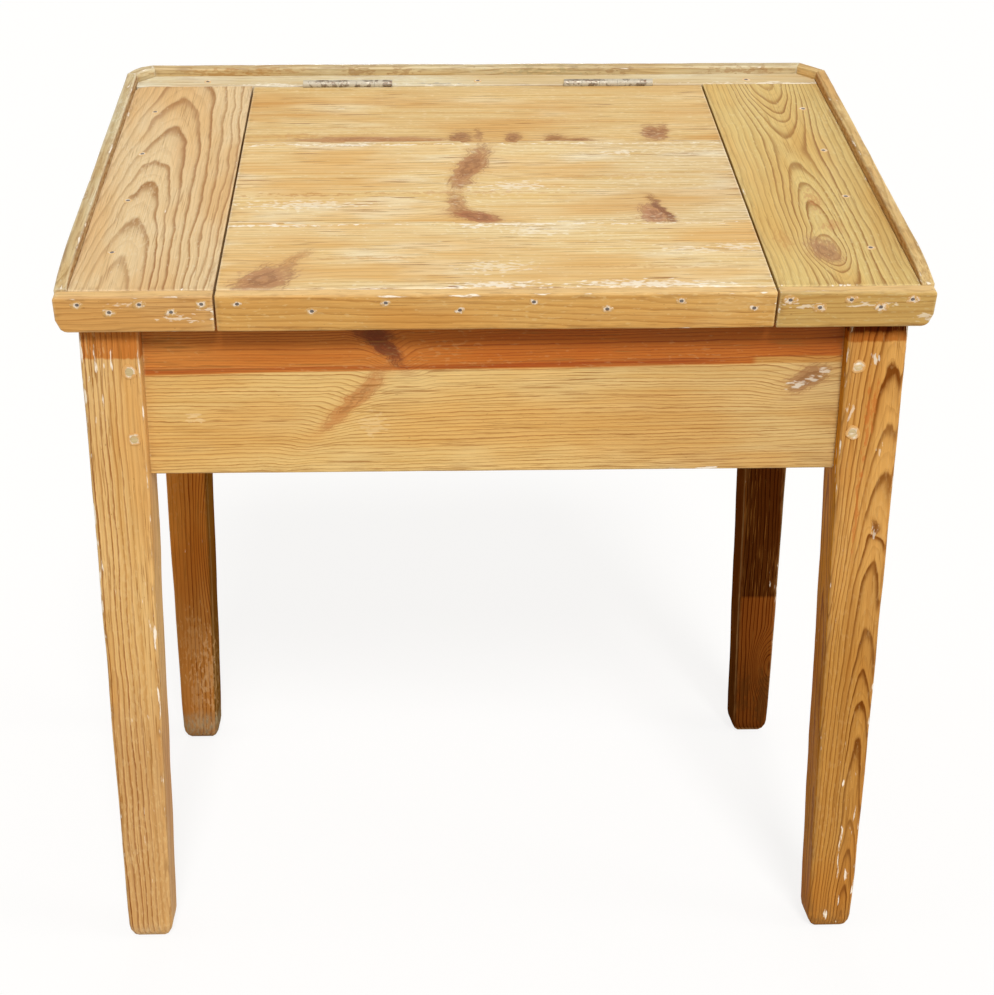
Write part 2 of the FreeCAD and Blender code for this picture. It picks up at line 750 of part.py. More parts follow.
def make_back_lip():
    """The raised strip along the back of the top."""
    right = [("top_half - corner_clip - mitre_run", "rail_back"), ("top_half - corner_clip", "slope_length")]
    body = new_body("back_edge_lip")
    add_slab(body, "XY_Plane", "0 - board_thick", "lip_rise", right + mirrored(reversed(right), -1))
    top, width = measure("lip_rise"), measure("2 * lip_thick")
    round_edges(body, "lip_round", lambda edge: edge.BoundBox.ZMin > top - 0.001 and edge.Length > width)
    spots = [(x, LIP_NAIL_LEVEL) for x in BACK_LIP_NAIL_X]
    cut_slab(body, "XZ_Plane", "rail_back", "slope_length", circles=spots, diameter="nail_hole")
    keep(on_slope(body), "back_edge_lip")


def make_lipping(label, x_range, nails, rounded_end=None):
    """A strip nailed over the front ends of boards, with the corners of any free end rounded."""
    body = new_body(label)
    add_slab(body, "XZ_Plane", "0", "lipping_thick", rectangle(*x_range, "0 - lipping_height", "0"))
    if rounded_end:
        for level, radius in (("0 - lipping_height", "lipping_end_round"), ("0", "lipping_top_round")):
            end, height = measure(rounded_end), measure(level)

            def at_corner(edge):
                middle = edge.CenterOfMass
                return abs(middle.x - end) < 0.001 and abs(middle.z - height) < 0.001
            round_edges(body, radius, at_corner)
    round_edges(body, "board_round", lambda edge: edge.BoundBox.YMax < 0.001)
    cut_slab(body, "XZ_Plane", "0", "lipping_thick", circles=nails, diameter="nail_hole")
    keep(on_slope(body), label)


def make_top_nails():
    """The nails of the fixed part of the top."""
    spots = side_nail_spots(-1) + side_nail_spots(1) + rail_nail_spots()
    rods = slope_rods(spots, "nail_diameter", "nail_length")
    keep(fuse(rods), "top_board_nails")
    spots = mirrored(LIPPING_NAIL_SPOTS, -1) + LIPPING_NAIL_SPOTS
    rods = [rod((x, "nail_sink", n), TURN_TO_Y, "nail_diameter", "nail_length") for x, n in spots]
    keep(on_slope(fuse(rods)), "front_lipping_nails")
    rods = []
    for side in (-1, 1):
        x = lip_nail_range(side)[0]
        rods += [rod((x, s, LIP_NAIL_LEVEL), TURN_TO_X, "nail_diameter", "small_nail_length")
                 for s in LIP_NAIL_S]
    s = "slope_length - nail_sink - small_nail_length"
    rods += [rod((x, s, LIP_NAIL_LEVEL), TURN_TO_Y, "nail_diameter", "small_nail_length")
             for x in BACK_LIP_NAIL_X]
    keep(on_slope(fuse(rods)), "edge_lip_nails")


# Hinges

HINGE_SIDES = {"left": -1, "right": 1}


def screw_places(side):
    """Places of a hinge's three screws along the hinge."""
    return [f"{side} * hinge_offset + ({step}) * hinge_screw_pitch" for step in (-1, 0, 1)]


def hinge_screws(side, fixed, slack):
    """The countersunk screws of one leaf, or their holes where there is slack."""
    turn = TURN_TO_Y if fixed else FreeCAD.Rotation(FreeCAD.Vector(1, 0, 0), 90)
    sign = "+" if fixed else "-"
    wide, shank = f"screw_head_diameter + 2 * {slack}", f"screw_diameter + 2 * {slack}"
    solids = []
    for x in screw_places(side):
        spot = (x, f"axis_s {sign} leaf_face", "screw_level")
        solids.append(taper(spot, turn, wide, shank, "screw_head_height"))
        solids.append(rod(spot, turn, shank, "hinge_screw_length"))
    return solids


def let_in_hinges(body, fixed):
    """Let both hinges into an edge: a shallow seat for the leaf, a trough for the knuckles, screw holes."""
    if fixed:
        seat = ("rail_front", "axis_s + leaf_back")
        screws = ("rail_front", "axis_s + leaf_face + hinge_screw_length")
    else:
        seat = ("axis_s - leaf_back", "lid_back")
        screws = ("axis_s - leaf_face - hinge_screw_length", "lid_back")
    for side in HINGE_SIDES.values():
        low = f"{side} * hinge_offset - hinge_length / 2 - knuckle_end_gap"
        high = f"{side} * hinge_offset + hinge_length / 2 + knuckle_end_gap"
        cut_slab(body, "XZ_Plane", *seat, rectangle(low, high, "leaf_bottom - knuckle_end_gap", "hinge_rise"))
        trough = "2 * trough_radius"
        cut_slab(body, "YZ_Plane", low, high, circles=[("axis_s", "hinge_rise")], diameter=trough)
        spots = [(x, "screw_level") for x in screw_places(side)]
        cut_slab(body, "XZ_Plane", *screws, circles=spots, diameter="screw_hole")


def make_leaf(label, side, fixed):
    """One leaf of a butt hinge: a plate with every other knuckle, bored for the pin."""
    sign = "+" if fixed else "-"
    low = f"{side} * hinge_offset - hinge_length / 2"
    high = f"{side} * hinge_offset + hinge_length / 2"
    body = new_body(f"{label}_blank")
    near, far = f"axis_s {sign} leaf_face", f"axis_s {sign} leaf_back"
    add_slab(body, "YZ_Plane", low, high, rectangle(near, far, "leaf_bottom", "hinge_rise"))
    axis = [("axis_s", "hinge_rise")]
    add_slab(body, "YZ_Plane", low, high, circles=axis, diameter="knuckle_diameter")
    pitch = f"hinge_length / {KNUCKLE_COUNT}"
    notch_level = ("hinge_rise - trough_radius", "hinge_rise + trough_radius")
    for index in range(1 if fixed else 0, KNUCKLE_COUNT, 2):
        left = f"{low} + {index} * {pitch} - knuckle_end_gap / 2"
        right = f"{low} + {index + 1} * {pitch} + knuckle_end_gap / 2"
        cut_slab(body, "XZ_Plane", "axis_s - trough_radius", "axis_s + trough_radius",
                 rectangle(left, right, *notch_level))
    bore = "hinge_pin_diameter + 2 * hinge_pin_clearance"
    cut_slab(body, "YZ_Plane", low, high, circles=axis, diameter=bore)
    keep(on_slope(carve(body, hinge_screws(side, fixed, "fastener_clearance"))), label)


def make_hinges():
    """Both butt hinges: two leaves and a pin each, with their screws."""
    for word, side in HINGE_SIDES.items():
        make_leaf(f"{word}_hinge_rail_leaf", side, True)
        make_leaf(f"{word}_hinge_lid_leaf", side, False)
        pin = new_body(f"{word}_hinge_pin")
        low = f"{side} * hinge_offset - hinge_length / 2"
        add_slab(pin, "YZ_Plane", low, f"{low} + hinge_length", circles=[("axis_s", "hinge_rise")],
                 diameter="hinge_pin_diameter")
        keep(on_slope(pin), pin.Label)
    for label, fixed in (("hinge_rail_screws", True), ("hinge_lid_screws", False)):
        screws = hinge_screws(-1, fixed, "0") + hinge_screws(1, fixed, "0")
        keep(on_slope(fuse(screws)), label)


def make_rear_rail():
    """The rail across the back of the top that carries the hinges, clipped at its back corners."""
    right = [("board_outer", "rail_front"), ("board_outer", "slope_length - corner_clip - mitre_run"),
             ("top_half - corner_clip - mitre_run", "rail_back")]
    body = new_body("rear_rail")
    add_slab(body, "XY_Plane", "0 - board_thick", "0", right + mirrored(reversed(right), -1))
    round_edges(body, "board_round")
    spots = [spot[:2] for spot in rail_nail_spots()]
    cut_slab(body, "XY_Plane", "0 - board_thick", "0", circles=spots, diameter="nail_hole")
    spots = [(x, LIP_NAIL_LEVEL) for x in BACK_LIP_NAIL_X]
    depth = "slope_length - nail_sink - small_nail_length"
    cut_slab(body, "XZ_Plane", depth, "rail_back", circles=spots, diameter="nail_hole")
    let_in_hinges(body, True)
    keep(on_slope(body), "rear_rail")


# Lid

TONGUE_LOW = "0 - (lid_thick + tongue_thick) / 2"
TONGUE_HIGH = "0 - (lid_thick - tongue_thick) / 2"
LID_BOARD_EDGES = {
    "lid_front_board": ("lipping_thick", "front_seam - seam_gap"),
    "lid_middle_board": ("front_seam", "middle_seam - seam_gap"),
    "lid_back_board": ("middle_seam", "lid_back"),
}


def batten_screw_spots(side):
    """Two screws through a batten into each board of the lid."""
    x = f"{side} * batten_offset"
    front, back = LID_BOARD_EDGES["lid_front_board"][1], LID_BOARD_EDGES["lid_back_board"][0]
    rows = [("batten_front", front), LID_BOARD_EDGES["lid_middle_board"], (back, "batten_back")]
    spots = []
    for low, high in rows:
        spots += [(x, f"{low} + nail_edge_inset"), (x, f"{high} - nail_edge_inset")]
    return spots


def batten_screws(side, slack):
    """The countersunk screws of one batten, or their holes where there is slack."""
    wide, shank = f"screw_head_diameter + 2 * {slack}", f"screw_diameter + 2 * {slack}"
    solids = []
    for x, s in batten_screw_spots(side):
        spot = (x, s, "0 - lid_thick - batten_thick")
        solids.append(taper(spot, STAY_ON_Z, wide, shank, "screw_head_height"))
        solids.append(rod(spot, STAY_ON_Z, shank, "batten_screw_length"))
    return solids


def make_lid_board(index, label):
    """A board of the lid, tongued into the board behind it."""
    low, high = LID_BOARD_EDGES[label]
    body = new_body(label)
    width = ("0 - lid_half", "lid_half")
    add_slab(body, "XY_Plane", "0 - lid_thick", "0", rectangle(*width, low, high))
    round_edges(body, "board_round")
    if index > 0:
        groove = f"{low} + tongue_length + tongue_clearance"
        levels = (f"{TONGUE_LOW} - tongue_clearance", f"{TONGUE_HIGH} + tongue_clearance")
        cut_slab(body, "YZ_Plane", *width, rectangle(low, groove, *levels))
    if index < LID_BOARD_COUNT - 1:
        tongue = f"{high} + seam_gap + tongue_length"
        add_slab(body, "YZ_Plane", *width, rectangle(high, tongue, TONGUE_LOW, TONGUE_HIGH))
    for side in (-1, 1):
        spots = batten_screw_spots(side)[2 * index:2 * index + 2]
        depth = "batten_screw_length - lid_thick - batten_thick"
        cut_slab(body, "XY_Plane", "0 - lid_thick", depth, circles=spots, diameter="screw_hole")
    if index == 0:
        cut_slab(body, "XZ_Plane", low, DRIVEN_DEPTH, circles=LID_NAIL_SPOTS, diameter="nail_hole")
    if index == LID_BOARD_COUNT - 1:
        let_in_hinges(body, False)
    keep(on_slope(body), label)


def make_batten(label, side):
    """A batten across the underside of the lid, its lower edges eased."""
    middle = f"{side} * batten_offset"
    body = new_body(f"{label}_blank")
    sides = (f"{middle} - batten_width / 2", f"{middle} + batten_width / 2")
    outline = rectangle(*sides, "batten_front", "batten_back")
    bottom = "0 - lid_thick - batten_thick"
    add_slab(body, "XY_Plane", bottom, "0 - lid_thick", outline)
    level = measure(bottom)
    round_edges(body, "batten_round", lambda edge: edge.BoundBox.ZMax < level + 0.001)
    keep(on_slope(carve(body, batten_screws(side, "fastener_clearance"))), label)


def make_lid():
    """The lid's three boards, its front lipping, its battens and their fasteners."""
    for index, label in enumerate(LID_BOARD_EDGES):
        make_lid_board(index, label)
    make_lipping("lid_front_lipping", ("0 - lid_half", "lid_half"), LID_NAIL_SPOTS)
    rods = [rod((x, "nail_sink", n), TURN_TO_Y, "nail_diameter", "nail_length") for x, n in LID_NAIL_SPOTS]
    keep(on_slope(fuse(rods)), "lid_lipping_nails")
    make_batten("lid_left_batten", -1)
    make_batten("lid_right_batten", 1)
    keep(on_slope(fuse(batten_screws(-1, "0") + batten_screws(1, "0"))), "batten_screws")


# The desk

make_leg("front_left_leg", -1, False, 0)
make_leg("front_right_leg", 1, False, 1)
make_leg("back_right_leg", 1, True, 2)
make_leg("back_left_leg", -1, True, 3)
make_cross_apron("front_apron", False)
make_cross_apron("back_apron", True)
make_side_apron("left_apron", -1)
make_side_apron("right_apron", 1)
make_pegs()
make_ledger("left_ledger", -1)
make_ledger("right_ledger", 1)
for plank in range(PLANK_COUNT):
    make_plank(plank)
make_bottom_nails()
make_side_board("left_top_board", -1)
make_side_board("right_top_board", 1)
make_rear_rail()
make_side_lip("left_edge_lip", -1)
make_side_lip("right_edge_lip", 1)
make_corner_lip("left_corner_lip", -1)
make_corner_lip("right_corner_lip", 1)
make_back_lip()
make_lipping("left_front_lipping", ("0 - top_half", "0 - opening_half"), mirrored(LIPPING_NAIL_SPOTS, -1),
             "0 - top_half")
make_lipping("right_front_lipping", ("opening_half", "top_half"), LIPPING_NAIL_SPOTS, "top_half")
make_top_nails()
make_hinges()
make_lid()

doc.recompute()
for item in doc.Objects:
    if "Invalid" in item.State or "Error" in item.State:
        raise RuntimeError(f"{item.Label} failed: {item.getStatusString()}")
for piece in pieces:
    if piece.Shape.isNull() or not piece.Shape.isValid():
        raise RuntimeError(f"{piece.Label} has no valid shape")

os.makedirs("parts", exist_ok=True)
for piece in pieces:
    piece.Shape.exportStep(f"parts/{piece.Label}.step")
print(f"{len(pieces)} pieces written")
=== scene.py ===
"""Looks of the school desk with a lift lid: scrubbed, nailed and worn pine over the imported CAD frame."""

import json
import logging
import math
from dataclasses import dataclass, field, replace
from enum import Enum
from functools import partial
from typing import Callable

import bmesh
import bpy
from mathutils import Euler, Matrix, Vector, noise

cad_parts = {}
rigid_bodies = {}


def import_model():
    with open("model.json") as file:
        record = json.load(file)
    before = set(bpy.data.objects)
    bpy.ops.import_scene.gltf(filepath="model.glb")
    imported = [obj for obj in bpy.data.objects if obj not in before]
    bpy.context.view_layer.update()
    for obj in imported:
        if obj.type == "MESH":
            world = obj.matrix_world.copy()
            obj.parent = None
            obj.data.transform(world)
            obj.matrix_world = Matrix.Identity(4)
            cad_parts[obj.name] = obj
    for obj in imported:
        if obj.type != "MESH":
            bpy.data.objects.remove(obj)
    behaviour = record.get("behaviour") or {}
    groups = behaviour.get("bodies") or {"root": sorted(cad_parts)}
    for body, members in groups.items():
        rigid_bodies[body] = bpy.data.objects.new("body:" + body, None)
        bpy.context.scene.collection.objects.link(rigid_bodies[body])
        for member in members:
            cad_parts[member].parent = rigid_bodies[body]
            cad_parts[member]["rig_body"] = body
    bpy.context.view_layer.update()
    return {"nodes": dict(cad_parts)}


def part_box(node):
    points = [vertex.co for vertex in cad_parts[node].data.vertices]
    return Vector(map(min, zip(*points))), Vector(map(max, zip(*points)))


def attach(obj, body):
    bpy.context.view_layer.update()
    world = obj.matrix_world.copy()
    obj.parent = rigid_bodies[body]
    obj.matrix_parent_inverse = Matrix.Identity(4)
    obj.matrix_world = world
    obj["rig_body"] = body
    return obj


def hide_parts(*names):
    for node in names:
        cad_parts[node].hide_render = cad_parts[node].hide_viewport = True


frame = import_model()

LOG = logging.getLogger("school_desk")
# Metres in a millimetre, and millimetres in a metre
MM = 0.001
PER_METRE = 1000.0
SLOPE_ANGLE = math.radians(15.5)
SLOPE_TAN = math.tan(SLOPE_ANGLE)
MITRE_TAN = math.tan(math.radians(22.5))
QUARTER_TURN = tuple(math.radians(22.5 * step) for step in range(5))
# Settings of a soft step and of a mix of colours
SMOOTH = {"interpolation_type": "SMOOTHSTEP"}
RGBA = {"out": 2, "data_type": "RGBA"}
WHITE = (1.0, 1.0, 1.0, 1.0)
# Past any board, in millimetres
ENDLESS = 1e4
SIDES = ("left", "right")
# Fixes the offsets of the noise that waves the planed faces, so that every run gives the same desk
SEED = 1

Socket = bpy.types.NodeSocket
Colour = Socket | tuple[float, float, float, float]
Triple = tuple[float, float, float]
Reshape = Callable[[float, float, float], Triple]


class Slot(str, Enum):
    """Material slots of the record."""

    TOP = "top_pine"
    EDGE = "edge_pine"
    FRAME = "frame_pine"
    INSIDE = "inside_pine"
    PEG = "peg_wood"
    NAIL = "nail_iron"


class Axis(Enum):
    """Direction in a board: along the grain, across it, out of the show face."""

    ALONG = (1.0, 0.0, 0.0)
    ACROSS = (0.0, 1.0, 0.0)
    OUT = (0.0, 0.0, 1.0)


class Lay(Enum):
    """How a board's own axes lie in its frame: along the grain, across it, out of the show face."""

    X_UP = ((1, 0, 0), (0, 1, 0), (0, 0, 1))
    X_FRONT = ((1, 0, 0), (0, 0, 1), (0, -1, 0))
    X_BACK = ((-1, 0, 0), (0, 0, 1), (0, 1, 0))
    Y_UP = ((0, 1, 0), (-1, 0, 0), (0, 0, 1))
    Y_DOWN = ((0, 1, 0), (1, 0, 0), (0, 0, -1))
    Y_RIGHT = ((0, 1, 0), (0, 0, 1), (1, 0, 0))
    Y_LEFT = ((0, -1, 0), (0, 0, 1), (-1, 0, 0))
    Z_FRONT = ((0, 0, 1), (-1, 0, 0), (0, -1, 0))
    Z_BACK = ((0, 0, 1), (1, 0, 0), (0, 1, 0))


class Figure(Enum):
    """Patterns in old pine: length and width of a patch in millimetres, octaves, and an offset."""

    FIBRE = (70.0, 0.9, 2.0, 3.1)
    STREAK = (320.0, 6.0, 3.0, 11.7)
    PATCH = (120.0, 40.0, 3.0, 23.9)
    FLAKE = (22.0, 4.0, 4.0, 37.3)
    SPECK = (5.0, 2.2, 2.0, 51.1)
    SCORE = (48.0, 1.3, 3.0, 67.7)
    JAG = (11.0, 3.0, 2.0, 83.3)
    BROAD = (190.0, 55.0, 3.0, 91.3)
    CHIPS = (8.0, 3.0, 4.0, 101.9)
    GAPS = (9.0, 3.0, 4.0, 119.1)


class Age(str, Enum):
    """What years of use leave on wood and iron, as sRGB hex colours."""

    OIL = "#F2D3A0"
    GRIME = "#8A6236"
    SCRATCH = "#8E5E28"
    SPECK = "#7A5630"
    PAINT = "#EFE8DA"
    RUST = "#6B4A31"


def linear(colour: str) -> tuple[float, float, float, float]:
    """Turn an sRGB hex colour into linear light.

    Args:
        colour: Six hex digits after a hash.

    Returns:
        Linear red, green, blue and an alpha of one.
    """
    parts = [int(colour[i : i + 2], 16) / 255 for i in (1, 3, 5)]
    light = [p / 12.92 if p <= 0.04045 else ((p + 0.055) / 1.055) ** 2.4 for p in parts]
    return (light[0], light[1], light[2], 1.0)


class Graph:
    """The node tree of a material or of the world, filled one node at a time."""

    def __init__(self, owner: bpy.types.Material | bpy.types.World) -> None:
        """Start an empty tree.

        Args:
            owner: The new material or world.
        """
        self.owner = owner
        owner.use_nodes = True
        self.tree = owner.node_tree
        self.tree.nodes.clear()

    def put(self, kind: str, inputs: list | dict, out: int | str = 0, **settings: object) -> Socket:
        """Add one node with its settings, and set or link its inputs.

        Args:
            kind: Node type without its leading words.
            inputs: Values or sockets, by place in a list or by key in a dict.
            out: Output socket to hand back.
            **settings: Properties of the node.

        Returns:
            The wanted output socket, or the node's first input where it has no output.
        """
        node = self.tree.nodes.new("ShaderNode" + kind)
        for key, value in settings.items():
            setattr(node, key, value)
        pairs = inputs.items() if isinstance(inputs, dict) else enumerate(inputs)
        for key, value in pairs:
            if isinstance(value, Socket):
                self.tree.links.new(value, node.inputs[key])
            else:
                node.inputs[key].default_value = value
        return node.outputs[out] if len(node.outputs) else node.inputs[0]

    def cover(
        self,
        under: Colour,
        tone: str,
        level: Socket,
        start: float,
        full: float,
        share: float = 1.0,
        blend: str = "MIX",
    ) -> Socket:
        """Cover a colour with a tone where a level runs from one value to another.

        Args:
            under: Colour so far.
            tone: The tone as sRGB hex.
            level: What the cover follows.
            start: Level where the tone starts to show.
            full: Level where it covers most.
            share: How much it covers there.
            blend: MIX for an opaque tone, MULTIPLY for a stain.

        Returns:
            The colour with the tone.
        """
        part = self.put("MapRange", [level, start, full, 0.0, share], **SMOOTH)
        pair = {0: part, 6: under, 7: linear(tone)}
        return self.put("Mix", pair, blend_type=blend, **RGBA)


@dataclass(frozen=True)
class Spot:
    """An oval on a board's face, in millimetres from the board's low corner."""

    along: float
    across: float
    half_length: float
    half_width: float

    def local(self, g: Graph, at: Socket, turn: float = 0.0) -> Socket:
        """Measure places from the oval's middle in its half sizes.

        Args:
            g: Graph to add to.
            at: Board coordinates in millimetres.
            turn: Degrees from the grain to the oval's length.

        Returns:
            The places, one long at the oval's edge.
        """
        middle = (self.along, self.across, 0.0)
        half = (self.half_length, self.half_width, ENDLESS)
        return g.put("Mapping", [at, middle, (0.0, 0.0, math.radians(turn)), half], vector_type="TEXTURE")


@dataclass(frozen=True)
class Knot(Spot):
    """A branch cut through by the face, with the growth rings bulging round it.

    Attributes:
        turn: Degrees from the grain to the knot's length.
        rise: How far the rings bulge, in millimetres.
        spread: How far the bulge reaches, in half sizes of the knot.
        core, halo, line: Tones of the knot, of the wood round it and of the lines in it.
        strength: Share of those tones.
    """

    turn: float = 0.0
    rise: float = 5.0
    spread: float = 3.0
    core: str = "#9A5E33"
    halo: str = "#C68F52"
    strength: float = 0.8
    line: str = "#6E4321"


@dataclass(frozen=True)
class Swell(Spot):
    """A bulge of the growth rings with no knot at the face, and its rise in millimetres."""

    rise: float


@dataclass(frozen=True)
class Mark(Spot):
    """A ragged patch of old paint, or of a stain where it has a darker tone.

    Attributes:
        strength: Share of the tone.
        tone: The patch's colour.
        broken: How much small chips break it up; a low value keeps it whole.
    """

    strength: float = 0.8
    tone: str = "#F0E9DA"
    broken: float = 7.0


@dataclass(frozen=True)
class Band:
    """A stretch of a board in another tone, such as red heartwood or painted shade, in millimetres along one
    axis.

    Attributes:
        low, high, soft: Where it starts and ends, and how long each end takes to fade.
        tone, strength: Its colour and share.
        axis: Direction that it is measured in.
        fade_at, fade_over: Where along the grain it ends, and over what length. With a negative length it
            starts there instead.
        tilt: Rise of both ends per length along the grain.
        stain: True if it darkens the wood, as a stain or as painted shade, False if it lies over it.
        square: True if it keeps to the squared-up board and its ends run straight.
        broken: Share that small gaps take out.
    """

    low: float
    high: float
    soft: float
    tone: str
    strength: float
    axis: Axis = Axis.ACROSS
    fade_at: float = ENDLESS
    fade_over: float = 60.0
    tilt: float = 0.0
    stain: bool = True
    square: bool = False
    broken: float = 0.0


@dataclass(frozen=True)
class ShadedFace:
    """One face of a board darkened as painted shade: levels where it starts and is full, and how high up it
    starts.
    """

    axis: Axis
    clear: float
    full: float
    tone: str
    above: float = -ENDLESS


@dataclass(frozen=True)
class Pith:
    """Where the tree's centre ran past the board, in millimetres, and how it drifts per millimetre."""

    across: float
    depth: float
    drift_across: float = 0.0
    drift_depth: float = 0.0


@dataclass(frozen=True)
class Tones:
    """Colours of one pine: soft early wood, hard late wood, honey-coloured streaks and pale scrubbed wood."""

    early: str
    late: str
    honey: str = "#D9AE69"
    pale: str = "#F3E0BC"


@dataclass(frozen=True)
class PineFinish:
    """Old sawn and planed pine: growth rings cut by the face, so one field shows arches, lines and end grain.

    Attributes:
        name: Name of the material.
        pith: Place of the tree's centre, which sets whether the face shows lines or arches.
        tones: The wood's colours.
        ring, contrast: Width of a year's growth in millimetres, and how dark its late wood gets.
        warp, warp_scale: How far the rings sway across and into the board, and how long and wide a sway is.
        jag: How ragged the rings are, in millimetres.
        quiet: Where across the board the rings fade, where they have faded, and the share left.
        streak, scrub, golden: Shares of honey streaks, pale scrubbed patches and yellowed oil.
        grime, scored, scuff, paint: Shares of dirt, dark scratches, pale rubbed chips and white paint.
        rough, gloss: Least and greatest roughness, and the dry surface's share of mirror light.
        knots, swells, marks, bands, shaded_faces: What grew in the board and what was left on it, with
        painted shade in some bands and on whole faces.
        seed: Sets this board's patterns apart from the others'.
    """

    name: str
    pith: Pith
    tones: Tones
    ring: float = 4.2
    contrast: float = 0.75
    warp: tuple[float, float] = (8.0, 8.0)
    warp_scale: tuple[float, float] = (230.0, 60.0)
    jag: float = 1.0
    quiet: tuple[Triple, ...] = ()
    streak: float = 0.45
    scrub: float = 0.25
    golden: float = 0.5
    grime: float = 0.35
    scored: float = 0.6
    scuff: float = 0.3
    paint: float = 0.25
    rough: tuple[float, float] = (0.45, 0.66)
    gloss: float = 0.22
    knots: tuple[Knot, ...] = ()
    swells: tuple[Swell, ...] = ()
    marks: tuple[Mark, ...] = ()
    bands: tuple[Band, ...] = ()
    shaded_faces: tuple[ShadedFace, ...] = ()
    seed: float = 0.0

    def material(self, size: Vector, placing: Matrix | None = None) -> bpy.types.Material:
        """Make the pine of a board of a size in metres, with its placing if it is a CAD node."""
        return PineGraph(self, size, placing).shaded()


class PineGraph(Graph):
    """The nodes of one board's pine, with the board's coordinates and patterns at hand."""

    def __init__(self, pine: PineFinish, size: Vector, placing: Matrix | None) -> None:
        """Set up the coordinates and patterns.

        Args:
            pine: The finish.
            size: Length, width and thickness of the board in metres.
            placing: Where a CAD node lies; None for a board with its own axes.
        """
        super().__init__(bpy.data.materials.new(pine.name))
        self.pine = pine
        at = self.put("TexCoord", [], out="Object")
        if placing is None:
            box = self.put("Attribute", [], out="Vector", attribute_name="board")
        else:
            at = self.put("Mapping", [at, placing.translation, placing.to_euler()], vector_type="TEXTURE")
            box = at
        self.at = self.put("VectorMath", [at, (PER_METRE,) * 3], operation="MULTIPLY")
        self.squared = self.put("VectorMath", [box, (PER_METRE,) * 3], operation="MULTIPLY")
        self.frayed = self._frayed()
        self.edge = self._edge(box, size)
        self.fields = {figure: self._noise(self.at, figure) for figure in Figure if figure is not Figure.GAPS}

    def shaded(self) -> bpy.types.Material:
        """Shade the board from the grown wood up to the last flake of paint.

        Returns:
            The material.
        """
        late = self._rings()
        colour = self._wood(late)
        for knot in self.pine.knots:
            colour = self._knot(colour, knot)
        fibre = self.fields[Figure.FIBRE]
        shade = self.put("MapRange", [fibre, 0.28, 0.72, 0.88, 1.08])
        colour = self.put("VectorMath", {0: colour, "Scale": shade}, operation="SCALE")
        colour = self._used(colour)
        for mark in self.pine.marks:
            colour = self._mark(colour, mark)
        colour = self._paint(colour)
        rough = self.put("MapRange", [self.fields[Figure.PATCH], 0.3, 0.7, *self.pine.rough])
        height = self.put("Math", [late, 0.5, fibre], operation="MULTIPLY_ADD")
        normal = self.put("Bump", {"Strength": 0.5, "Distance": 0.25 * MM, "Height": height})
        wood = {"Base Color": colour, "Roughness": rough, "Normal": normal}
        wood["Specular IOR Level"] = self.pine.gloss
        self.put("OutputMaterial", [self.put("BsdfPrincipled", wood)])
        return self.owner

    def _noise(self, at: Socket, figure: Figure) -> Socket:
        """Add a pattern drawn out along the grain.

        Args:
            at: Board coordinates in millimetres.
            figure: The pattern.

        Returns:
            Noise from nought to one.
        """
        length, width, detail, shift = figure.value
        seed = self.pine.seed
        start = (seed + shift, seed * 1.7 - shift, shift)
        stretch = (1.0 / length, 1.0 / width, 1.0 / width)
        place = self.put("VectorMath", [at, stretch, start], operation="MULTIPLY_ADD")
        return self.put("TexNoise", {"Vector": place, "Scale": 1.0, "Detail": detail})

    def _rings(self) -> Socket:
        """Cut the tree's growth rings with the board.

        Returns:
            Share of dark late wood.
        """
        pine, pith = self.pine, self.pine.pith
        bent = self._bent()
        ways = ((-pith.drift_across, 1.0, 0.0), (-pith.drift_depth, 0.0, 1.0))
        parts = [self.put("VectorMath", [bent, way], out=1, operation="DOT_PRODUCT") for way in ways]
        flat = self.put("CombineXYZ", parts)
        centre = (pith.across + pine.warp[0], pith.depth + pine.warp[1], 0.0)
        radius = self.put("VectorMath", [flat, centre], out=1, operation="DISTANCE")
        bulges = [(knot.local(self, self.at, knot.turn), knot.spread, knot.rise) for knot in pine.knots]
        bulges += [(swell.local(self, self.at), 1.0, swell.rise) for swell in pine.swells]
        for own, spread, rise in bulges:
            away = self.put("VectorMath", [own], out=1, operation="LENGTH")
            lift = self.put("MapRange", [away, 0.0, spread, rise, 0.0], **SMOOTH)
            radius = self.put("Math", [radius, lift], operation="ADD")
        radius = self.put("Math", [self.fields[Figure.JAG], pine.jag, radius], operation="MULTIPLY_ADD")
        slow = self.put("Math", [radius, 1.0 / (5.0 * pine.ring)], operation="MULTIPLY")
        years = self.put("TexNoise", {"W": slow, "Scale": 1.0, "Detail": 1.0}, noise_dimensions="1D")
        radius = self.put("Math", [years, 1.6 * pine.ring, radius], operation="MULTIPLY_ADD")
        turns = self.put("Math", [radius, pine.ring], operation="DIVIDE")
        year = self.put("Math", [turns], operation="FLOOR")
        chance = self.put("TexWhiteNoise", {"W": year}, noise_dimensions="1D")
        force = self.put("MapRange", [chance, 0.0, 1.0, 0.6 * pine.contrast, pine.contrast])
        for begin, end, left in pine.quiet:
            across = self.put("VectorMath", [bent, Axis.ACROSS.value], out=1, operation="DOT_PRODUCT")
            calm = self.put("MapRange", [across, begin, end, 1.0, left], **SMOOTH)
            force = self.put("Math", [force, calm], operation="MULTIPLY")
        return self.put("Math", [self._year(turns), force], operation="MULTIPLY")

    def _bent(self) -> Socket:
        """Sway the board coordinates, as the trunk grew.

        Returns:
            The swayed coordinates in millimetres.
        """
        seed, (wide, deep) = self.pine.seed, self.pine.warp
        along, across = self.pine.warp_scale
        start = (seed, seed * 2.3, seed * 0.7)
        stretch = (1 / along, 1 / across, 1 / across)
        place = self.put("VectorMath", [self.at, stretch, start], operation="MULTIPLY_ADD")
        sway = self.put("TexNoise", {"Vector": place, "Scale": 1.0, "Detail": 4.0}, out=1)
        return self.put("VectorMath", [sway, (0.0, 2 * wide, 2 * deep), self.at], operation="MULTIPLY_ADD")

